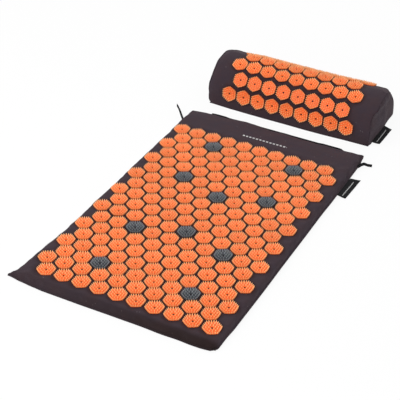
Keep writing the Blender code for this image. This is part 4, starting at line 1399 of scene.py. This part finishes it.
def build_tape(name, node, line, ends, side, step, model):
    """A zip tape with its row of teeth. Line carries the zip's own frame into the row frame."""
    start, stop = ends
    inner, outer = TAPE_SPAN
    depth = -ZIP_SET_BACK - TAPE_THICKNESS / 2
    tape = primitive(
        bpy.ops.mesh.primitive_cube_add, size=1.0,
        location=((start + stop) / 2, depth, side * (inner + COIL_WIDTH * COIL_OVERLAP + outer) / 2),
        scale=(stop - start, TAPE_THICKNESS, outer - inner - COIL_WIDTH * COIL_OVERLAP),
    )
    pick(tape, "edges", lambda edge: abs(edge.verts[0].co.x - edge.verts[1].co.x) > 0.1)
    bpy.ops.mesh.bevel(offset=TAPE_THICKNESS * TAPE_ROUND_SHARE, segments=1)
    clear_selection()
    parts = [tape]
    for index in range(int((stop - start) / step)):
        place = Vector((start + (index + TOOTH_STARTS[side]) * step, depth, side * (inner + COIL_WIDTH / 2)))
        parts.append(copy_at(model, Matrix.Translation(place)))
    tape = join(name, parts)
    tape.data.transform(line)
    coat(tape, "tape", 40.0)
    set_down(tape, "black_tape", node)


class ACUPRESSURE_OT_zips(bpy.types.Operator):
    """Build the tapes and teeth of both zips, and finish their metal"""

    bl_idname = "acupressure.zips"
    bl_label = "Zips"

    def execute(self, context):
        step = context.scene.acupressure_trim.tooth_step
        sizes = context.scene.acupressure_mat
        pillow = context.scene.acupressure_pillow
        model = model_tooth(step)
        mat_line = Matrix.Translation((0, sizes.half_length, sizes.zip_height))
        pillow_line = pillow_frame(pillow) @ Matrix.Translation((0, pillow.half_depth, sizes.zip_height))
        zips = (
            ("mat", mat_line, (-sizes.zip_half, sizes.zip_half)),
            ("pillow", pillow_line, (GAP - pillow.half_length, PILLOW_ZIP_END)),
        )
        for prefix, line, ends in zips:
            for side, edge in ((1, "upper"), (-1, "lower")):
                node = f"{prefix}_zip_{edge}_tape"
                build_tape(f"{prefix}_{edge}_zip_tape", node, line, ends, side, step, model)
            for part in ("slider", "pull", "closed_stop", "open_stop"):
                dress(NODES[f"{prefix}_zip_{part}"], finish("metal"))
        discard(model)
        return {"FINISHED"}


# The pillow

class Arch:
    """The pillow's D-shaped section, measured by its length from the crown, negative to the front."""

    SAMPLES = 240

    def __init__(self, pillow):
        self.points, self.lengths = [], []
        total = 0.0
        for step in range(self.SAMPLES + 1):
            angle = math.pi * (step / self.SAMPLES - 0.5)
            fullness = pillow.exponent if angle <= 0 else pillow.back_exponent
            depth = pillow.half_depth * math.copysign(abs(math.sin(angle)) ** (2 / fullness), angle)
            point = Vector((depth, pillow.height * max(0.0, math.cos(angle)) ** (2 / pillow.exponent)))
            if self.points:
                total += (point - self.points[-1]).length
            self.points.append(point)
            self.lengths.append(total)
        crown = self.lengths[self.SAMPLES // 2]
        self.lengths = [value - crown for value in self.lengths]

    def place(self, along):
        """Point and tangent at a length from the crown."""
        last = len(self.lengths) - 1
        index = next((i for i in range(1, last) if self.lengths[i] > along), last)
        start, end = self.points[index - 1], self.points[index]
        share = (along - self.lengths[index - 1]) / (self.lengths[index] - self.lengths[index - 1])
        return start.lerp(end, share), (end - start).normalized()

    def length_at(self, height, side):
        """Length from the crown to where the wall stands at a height, on the front (-1) or back (1)."""
        points = self.points if side < 0 else self.points[::-1]
        lengths = self.lengths if side < 0 else self.lengths[::-1]
        index = next(i for i, point in enumerate(points) if i > 0 and point.y > height)
        low, high = points[index - 1].y, points[index].y
        share = (height - low) / (high - low)
        return lengths[index - 1] + share * (lengths[index] - lengths[index - 1])

    def surface(self, x, along, depth):
        """The point of the wrap at x along the pillow, sunk by depth under its outer face."""
        point, tangent = self.place(along)
        return Vector((x, point.x + tangent.y * depth, point.y - tangent.x * depth))


def pillow_frame(pillow):
    """From the pillow's own frame to the row frame."""
    return Matrix.Translation(mount_place("pillow_underside")) @ Matrix.Rotation(pillow.turn, 4, "Z")


# How far the ends stand out at each height. The twist and the drop go by the place along the pillow.
LEFT_FLARE = (
    (0.0, 0.0060), (0.008, 0.0082), (0.018, 0.0090), (0.030, 0.0110), (0.042, 0.0120), (0.052, 0.0102),
    (0.062, 0.0088), (0.075, 0.0082), (0.085, 0.0098), (0.0915, 0.0110),
)
RIGHT_FLARE = (
    (0.0, 0.0095), (0.036, 0.0090), (0.055, 0.0065), (0.066, 0.0074), (0.076, 0.0135), (0.084, 0.0130),
    (0.0915, 0.0105),
)
FLARE_REACH = 0.027
FRONT_TWIST = (
    (-0.190, -0.0030), (-0.157, -0.0052), (-0.080, -0.0051), (-0.034, -0.0045), (0.014, -0.0032),
    (0.062, -0.0031), (0.109, -0.0003), (0.155, 0.0034), (0.190, 0.0042),
)
CROWN_DROP = (
    (-0.190, 0.0005), (-0.180, 0.0018), (-0.166, 0.0045), (-0.150, 0.0080), (-0.138, 0.0070),
    (-0.118, 0.0055), (-0.060, 0.0055), (0.0, 0.0047), (0.060, 0.0042), (0.090, 0.0026), (0.133, 0.0008),
    (0.190, 0.0),
)
TWIST_HEIGHT = 0.026
TWIST_DEPTH = 0.040
BACK_DRAW = 0.0080
BACK_REACH = 0.012
BACK_DEPTH = 0.050
BACK_CALM = 0.5
BACK_CALM_START = 0.020
BACK_CALM_REACH = 0.080
DROP_START = 0.005
DROP_REACH = 0.035
DROP_HEIGHT = 0.050
# Of the first rows: shift along the pillow, change of span, and tilt from the left end to the right
ROW_SHIFTS = (-0.0015, 0.0008, 0.0015)
ROW_SPANS = (0.0008, 0.0, -0.0024)
ROW_TILTS = (-0.0020, -0.0030, -0.0022, -0.0008)


def flare(place, pillow):
    """Where a point of the pillow lies, after its ends spread, its front edge shifts and its crown sinks."""
    x, y, z = place
    out = read_table(RIGHT_FLARE if x > 0 else LEFT_FLARE, z)
    out *= smooth_share((abs(x) - pillow.half_length + FLARE_REACH) / FLARE_REACH)
    drawn = 0.0
    if x > 0:
        out *= 1 - BACK_CALM * smooth_share((y + BACK_CALM_START) / BACK_CALM_REACH)
        drawn = BACK_DRAW * smooth_share((x - pillow.half_length + BACK_REACH) / BACK_REACH)
        drawn *= smooth_share(y / BACK_DEPTH)
    low = smooth_share(1 - z / TWIST_HEIGHT) * smooth_share(-y / TWIST_DEPTH)
    sunk = read_table(CROWN_DROP, x) * smooth_share((y + DROP_START) / DROP_REACH)
    sunk *= smooth_share(z / DROP_HEIGHT)
    return Vector((x + math.copysign(out, x), y + read_table(FRONT_TWIST, x) * low - drawn, z - sunk))


def lay_on_pillow(obj, pillow):
    """Apply the flare to a mesh in the pillow's own frame, and carry it into the row frame."""
    for vert in obj.data.vertices:
        vert.co = flare(vert.co, pillow)
    obj.data.transform(pillow_frame(pillow))


def pillow_field(pillow, discs, arch):
    """Frame of each disc, in the pillow's own frame, and its length from the crown.

    A frame's x runs along the pillow, its y up the slope and its z outwards.
    """
    pitch = discs.flats + discs.pillow_gap
    step = discs.flats * math.sqrt(3) / 2 + discs.pillow_row_gap
    tables = (ROW_SHIFTS, ROW_SPANS, ROW_TILTS)
    frames = []
    for row in range(pillow.rows):
        count = pillow.columns - row % 2
        row_along = (row - (pillow.rows - 1) / 2) * step - pillow.field_drop
        shift, span, tilt = (table[row] if row < len(table) else 0.0 for table in tables)
        for column in range(count):
            share = column / (count - 1)
            along = row_along + tilt * share
            point, tangent = arch.place(along)
            up_slope = Vector((0, tangent.x, tangent.y))
            outward = Vector((1, 0, 0)).cross(up_slope)
            x = (column - (count - 1) / 2) * pitch + shift + span * share
            turn = Matrix((Vector((1, 0, 0)), up_slope, outward)).transposed().to_4x4()
            frames.append((Matrix.Translation((x, point.x, point.y)) @ turn, along))
    return frames


class ACUPRESSURE_OT_pillow_discs(bpy.types.Operator):
    """Build the pillow's discs"""

    bl_idname = "acupressure.pillow_discs"
    bl_label = "Pillow Discs"

    def execute(self, context):
        discs = context.scene.acupressure_discs
        pillow = context.scene.acupressure_pillow
        model = model_disc(discs)
        sunk = Matrix.Translation((0, 0, -GAP / 2))
        places = [place @ sunk for place, _ in pillow_field(pillow, discs, Arch(pillow))]
        laid = lay_discs("pillow_orange_discs", model, places, random.Random(PILLOW_SEED), "orange")
        lay_on_pillow(laid, pillow)
        set_down(laid, "orange_disc", "pillow_wrap")
        discard(model)
        return {"FINISHED"}


WRAP_END_PLACES = (0.0, 0.0012, 0.0032, 0.0062, 0.0100, 0.0150)
WRAP_STEP = 0.0062
WRAP_EASE = 0.014
WRAP_END_EXPONENT = 1.5
WRAP_ROOM = 0.0008
WRAP_SWELL = 0.0030
WRAP_GAP_SHADE = 0.6
FOOT_SHADE = 0.35
FOOT_SHADE_REACH = 0.040
# Of each ring: share of the way to the middle, share of the bulge, and distance back under the outline
END_RINGS = (
    (0.055, 0.0, 0.0040), (0.040, 0.0, 0.0), (0.0, 0.0, 0.0), (0.004, 0.16, 0.0), (0.014, 0.34, 0.0),
    (0.035, 0.54, 0.0), (0.08, 0.72, 0.0), (0.16, 0.85, 0.0), (0.28, 0.93, 0.0), (0.46, 0.98, 0.0),
    (0.64, 1.0, 0.0), (0.82, 1.0, 0.0),
)
END_HELD_RINGS = 3
END_CENTRE_SHARE = 0.42
END_SEGMENTS = 64
END_BASE_STEPS = 12
END_CREASE = 0.0016
END_CREASE_SCALES = (34, 26)
END_CREASE_SEED = 2.0
END_SWELL = 0.0008
BASE_ROUND_SHARE = 0.3


def flat_under_disc(place, along, frames, discs):
    """The point of a disc's flat foot under which a point of the wrap lies, or nothing."""
    half = discs.flats / 2 + WRAP_ROOM
    corner = discs.flats / math.sqrt(3) + WRAP_ROOM
    for on_disc, to_disc, disc_along in frames:
        if abs(along - disc_along) > corner or abs(place.x - on_disc.translation.x) > half:
            continue
        x, y, _ = to_disc @ place
        in_slopes = abs(x) / half + max(0.0, abs(y) - corner / 2) / (corner / 2) <= 1.0
        if in_slopes or (abs(x) <= half and abs(y) <= corner / 2):
            return on_disc @ Vector((x, y, 0.0))
    return None


def build_wrap(scene):
    """The curved panel, flat under each disc and drawn in at its ends."""
    discs, mat, pillow = scene.acupressure_discs, scene.acupressure_mat, scene.acupressure_pillow
    arch = Arch(pillow)
    front = arch.length_at(mat.fabric + GAP, -1)
    back = arch.length_at(mat.zip_height + mat.zip_opening / 2, 1)
    xs = edge_steps(pillow.half_length, WRAP_END_PLACES, WRAP_STEP)
    count = round((back - front) / WRAP_STEP)
    rows = [front + (back - front) * i / count for i in range(count + 1)]
    frames = [(place, place.inverted(), along) for place, along in pillow_field(pillow, discs, arch)]
    verts, uvs, held = [], [], []
    for j, along in enumerate(rows):
        for i, x in enumerate(xs):
            from_end = pillow.half_length - abs(x)
            depth = pillow.end_round * (1 - smooth_share(from_end / WRAP_EASE)) ** WRAP_END_EXPONENT
            place = arch.surface(x, along, depth)
            flat = flat_under_disc(place, along, frames, discs)
            if flat is not None or i in (0, len(xs) - 1) or j in (0, count):
                held.append(len(verts))
            verts.append(tuple(place if flat is None else flat))
            uvs.append((x, along))
    wrap = mesh_object("pillow_wrap_panel", verts, grid_faces(len(xs), len(rows)), uvs)
    swell(wrap, held, pillow.pressure, WRAP_SWELL)
    centres = [Vector((place.translation.x, along)) for place, _, along in frames]
    # Painted shade between the discs and towards the wrap's foot at the front.
    shades = []
    for x, along in uvs:
        foot = smooth_share(1 - (along - front) / FOOT_SHADE_REACH)
        shades.append(max(WRAP_GAP_SHADE * gap_shade(x, along, centres), FOOT_SHADE * foot))
    mark(wrap, "pressed", shades)
    finish_panel(wrap, mat.fabric, "cover", "pillow_wrap", pillow)


def build_end(scene, name, side):
    """A domed end panel with soft creases."""
    pillow = scene.acupressure_pillow
    arch = Arch(pillow)
    low = arch.length_at(0.0, -1)
    high = arch.length_at(0.0, 1)
    outline = []
    for step in range(END_SEGMENTS + 1):
        outline.append(arch.surface(0.0, low + (high - low) * step / END_SEGMENTS, pillow.end_round))
    for step in range(1, END_BASE_STEPS):
        outline.append(outline[END_SEGMENTS].lerp(outline[0], step / END_BASE_STEPS))
    centre = Vector((0, 0, pillow.height * END_CENTRE_SHARE))
    bulge = pillow.left_bulge if side < 0 else pillow.right_bulge
    creases = ((1.0, *END_CREASE_SCALES, END_CREASE_SEED + side),)
    verts, uvs, faces = [], [], []
    for inset, rise, under in END_RINGS:
        for point in outline:
            place = point.lerp(centre, inset)
            crease = ripple(creases, place.y, place.z) * END_CREASE * rise
            x = pillow.half_length + GAP + bulge * rise + crease - under
            verts.append((side * x, place.y, max(0.0, place.z)))
            uvs.append((place.y, place.z))
    ring = len(outline)
    last = len(verts) - ring
    verts.append((side * (pillow.half_length + GAP + bulge), centre.y, centre.z))
    uvs.append((centre.y, centre.z))
    for start in range(0, last, ring):
        for i in range(ring):
            j = (i + 1) % ring
            faces.append((start + i, start + j, start + ring + j, start + ring + i))
    for i in range(ring):
        faces.append((last + i, last + (i + 1) % ring, len(verts) - 1))
    if side > 0:
        faces = [tuple(reversed(face)) for face in faces]
    end = mesh_object(f"pillow_{name}_end_panel", verts, faces, uvs)
    swell(end, list(range(END_HELD_RINGS * ring)), pillow.pressure, END_SWELL)
    finish_panel(end, scene.acupressure_mat.fabric, "cover", f"pillow_{name}_end", pillow)


def build_base(scene):
    """The flat base, turned up at the back."""
    mat, pillow = scene.acupressure_mat, scene.acupressure_pillow
    fabric = mat.fabric
    fold = pillow.half_depth - fabric
    base = primitive(
        bpy.ops.mesh.primitive_cube_add, size=1.0, location=(0, 0, fabric / 2),
        scale=(2 * pillow.half_length, 2 * pillow.half_depth, fabric),
    )
    rename(base, "pillow_base_cloth")
    pick(base, "faces", lambda face: face.normal.z > 0.5)
    bpy.ops.mesh.bisect(plane_co=(0, fold, 0), plane_no=(0, 1, 0))
    pick(base, "faces", lambda face: face.normal.z > 0.5 and face.calc_center_median().y > fold)
    rise = mat.zip_height - mat.zip_opening / 2 - fabric
    bpy.ops.mesh.extrude_region_move(TRANSFORM_OT_translate={"value": (0, 0, rise)})
    clear_selection()
    add_modifier(base, "BEVEL", width=fabric * BASE_ROUND_SHARE, segments=2, limit_method="ANGLE")
    add_modifier(base, "SUBSURF", levels=3, render_levels=3, subdivision_type="SIMPLE")
    finish_modifiers(base)
    lay_on_pillow(base, pillow)
    mesh = base.data
    for loop in mesh.loops:
        mesh.uv_layers.active.data[loop.index].uv = mesh.vertices[loop.vertex_index].co.xy
    coat(base, "cover", 50.0)
    set_down(base, "cover_fabric", "pillow_base_panel")


class ACUPRESSURE_OT_pillow_cover(bpy.types.Operator):
    """Build the pillow's wrap, end panels and base"""

    bl_idname = "acupressure.pillow_cover"
    bl_label = "Pillow Cover"

    def execute(self, context):
        build_wrap(context.scene)
        build_end(context.scene, "left", -1)
        build_end(context.scene, "right", 1)
        build_base(context.scene)
        return {"FINISHED"}


# Stage

CAMERA_PLACE = Vector((0.84841, -1.67252, 1.33938))
CAMERA_FORWARD = Vector((-0.37383, 0.73155, -0.57016))
CAMERA_UP = Vector((-0.27495, 0.49969, 0.82141))
CAMERA_LENS = 107.56
STAGE_SIZE = 6.0
FLOOR_DROP = 0.0004
FLOOR_WHITE_SHARE = 0.90
WORLD_STRENGTH = 0.62
# Name, place, aim, size and power
LAMPS = (
    ("key_lamp", (-0.9, -0.5, 1.9), (0, 0.1, 0), 1.2, 14.0),
    ("front_lamp", (0.1, -2.3, 0.9), (0, 0.2, 0), 1.4, 26.0),
    ("back_lamp", (0.2, 1.7, 1.5), (0, 0.2, 0), 1.2, 5.0),
)


def add_lamp(name, place, target, size, power):
    """A soft square lamp aimed at a place."""
    data = bpy.data.lights.new(name, "AREA")
    data.shape = "SQUARE"
    data.size = size
    data.energy = power
    lamp = bpy.data.objects.new(name, data)
    lamp.location = place
    lamp.rotation_euler = (Vector(target) - Vector(place)).to_track_quat("-Z", "Y").to_euler()
    bpy.context.scene.collection.objects.link(lamp)


def backdrop_tree(owner, lit, white, share, out):
    """Fill a tree so that rays from the camera, from gloss and through glass see a share of white.

    Lit is what all other rays see, as a kind of node and its inputs. White and out are kinds of node.
    """
    owner.use_nodes = True
    owner.node_tree.nodes.clear()
    g = Graph(owner.node_tree)
    path = g.add("ShaderNodeLightPath", {}).outputs
    seen = g.math("MAXIMUM", path["Is Camera Ray"], path["Is Glossy Ray"])
    seen = g.product(g.math("MAXIMUM", seen, path["Is Transmission Ray"]), share)
    plain = g.add(white, {"Color": WHITE, "Strength": 1.0})
    mix = g.add("ShaderNodeMixShader", {0: seen, 1: g.add(*lit).outputs[0], 2: plain.outputs[0]})
    g.add(out, {"Surface": mix.outputs[0]})


def add_floor():
    """The white floor."""
    floor = primitive(
        bpy.ops.mesh.primitive_grid_add, x_subdivisions=4, y_subdivisions=4, size=STAGE_SIZE,
        location=(0, 0.1, -FLOOR_DROP),
    )
    floor.name = "stage_floor"
    material = bpy.data.materials.new("white_floor")
    lit = ("ShaderNodeBsdfDiffuse", {"Color": PALE_GREY})
    backdrop_tree(material, lit, "ShaderNodeEmission", FLOOR_WHITE_SHARE, "ShaderNodeOutputMaterial")
    dress(floor, material)


def add_world(scene):
    """The even light of a white room."""
    world = bpy.data.worlds.new("studio_world")
    lit = ("ShaderNodeBackground", {"Color": WHITE, "Strength": WORLD_STRENGTH})
    backdrop_tree(world, lit, "ShaderNodeBackground", 1.0, "ShaderNodeOutputWorld")
    scene.world = world


def add_camera(scene):
    """The camera that took the photograph."""
    data = bpy.data.cameras.new("photo_camera")
    data.sensor_fit = "HORIZONTAL"
    data.sensor_width = 36.0
    data.lens = CAMERA_LENS
    data.clip_start = 0.05
    data.clip_end = 30.0
    camera = bpy.data.objects.new("photo_camera", data)
    back = -CAMERA_FORWARD.normalized()
    right = CAMERA_UP.cross(back).normalized()
    turn = Matrix((right, back.cross(right), back)).transposed().to_4x4()
    camera.matrix_world = Matrix.Translation(CAMERA_PLACE) @ turn
    scene.collection.objects.link(camera)
    scene.camera = camera


class ACUPRESSURE_OT_stage(bpy.types.Operator):
    """Build the white floor, the lamps, the world and the camera"""

    bl_idname = "acupressure.stage"
    bl_label = "Stage"

    def execute(self, context):
        add_floor()
        add_world(context.scene)
        for lamp in LAMPS:
            add_lamp(*lamp)
        add_camera(context.scene)
        context.scene.view_settings.view_transform = "Standard"
        return {"FINISHED"}


class ACUPRESSURE_PT_panel(bpy.types.Panel):
    """Sizes, finishes and the steps that build the mat and pillow"""

    bl_idname = "ACUPRESSURE_PT_panel"
    bl_label = "Acupressure Mat"
    bl_space_type = "VIEW_3D"
    bl_region_type = "UI"
    bl_category = "Acupressure"

    def draw(self, context):
        layout = self.layout
        for operator in OPERATORS:
            layout.operator(operator.bl_idname)
        for name in GROUP_PROPERTIES:
            group = getattr(context.scene, name)
            box = layout.box()
            box.label(text=group.__doc__.strip())
            for prop in group.__annotations__:
                box.prop(group, prop)


GROUP_PROPERTIES = {
    "acupressure_discs": DiscSizes,
    "acupressure_mat": MatSizes,
    "acupressure_pillow": PillowSizes,
    "acupressure_trim": TrimSizes,
    "acupressure_finishes": Finishes,
}
OPERATORS = (
    ACUPRESSURE_OT_stage,
    ACUPRESSURE_OT_mat_cover,
    ACUPRESSURE_OT_mat_discs,
    ACUPRESSURE_OT_stitches,
    ACUPRESSURE_OT_labels,
    ACUPRESSURE_OT_loops,
    ACUPRESSURE_OT_pillow_cover,
    ACUPRESSURE_OT_pillow_discs,
    ACUPRESSURE_OT_zips,
    ACUPRESSURE_OT_foam,
)
CLASSES = (*GROUP_PROPERTIES.values(), *OPERATORS, ACUPRESSURE_PT_panel)


def register():
    """Register every class and the property groups on the scene."""
    for cls in CLASSES:
        bpy.utils.register_class(cls)
    for name, cls in GROUP_PROPERTIES.items():
        setattr(bpy.types.Scene, name, bpy.props.PointerProperty(type=cls))


def unregister():
    """Take everything off again."""
    for name in GROUP_PROPERTIES:
        delattr(bpy.types.Scene, name)
    for cls in reversed(CLASSES):
        bpy.utils.unregister_class(cls)


def main():
    """Build everything in order."""
    register()
    for operator in OPERATORS:
        prefix, name = operator.bl_idname.split(".")
        result = getattr(getattr(bpy.ops, prefix), name)()
        if result != {"FINISHED"}:
            raise RuntimeError(f"{operator.bl_label} did not finish")
    clear_selection()


if __name__ == "__main__":
    main()
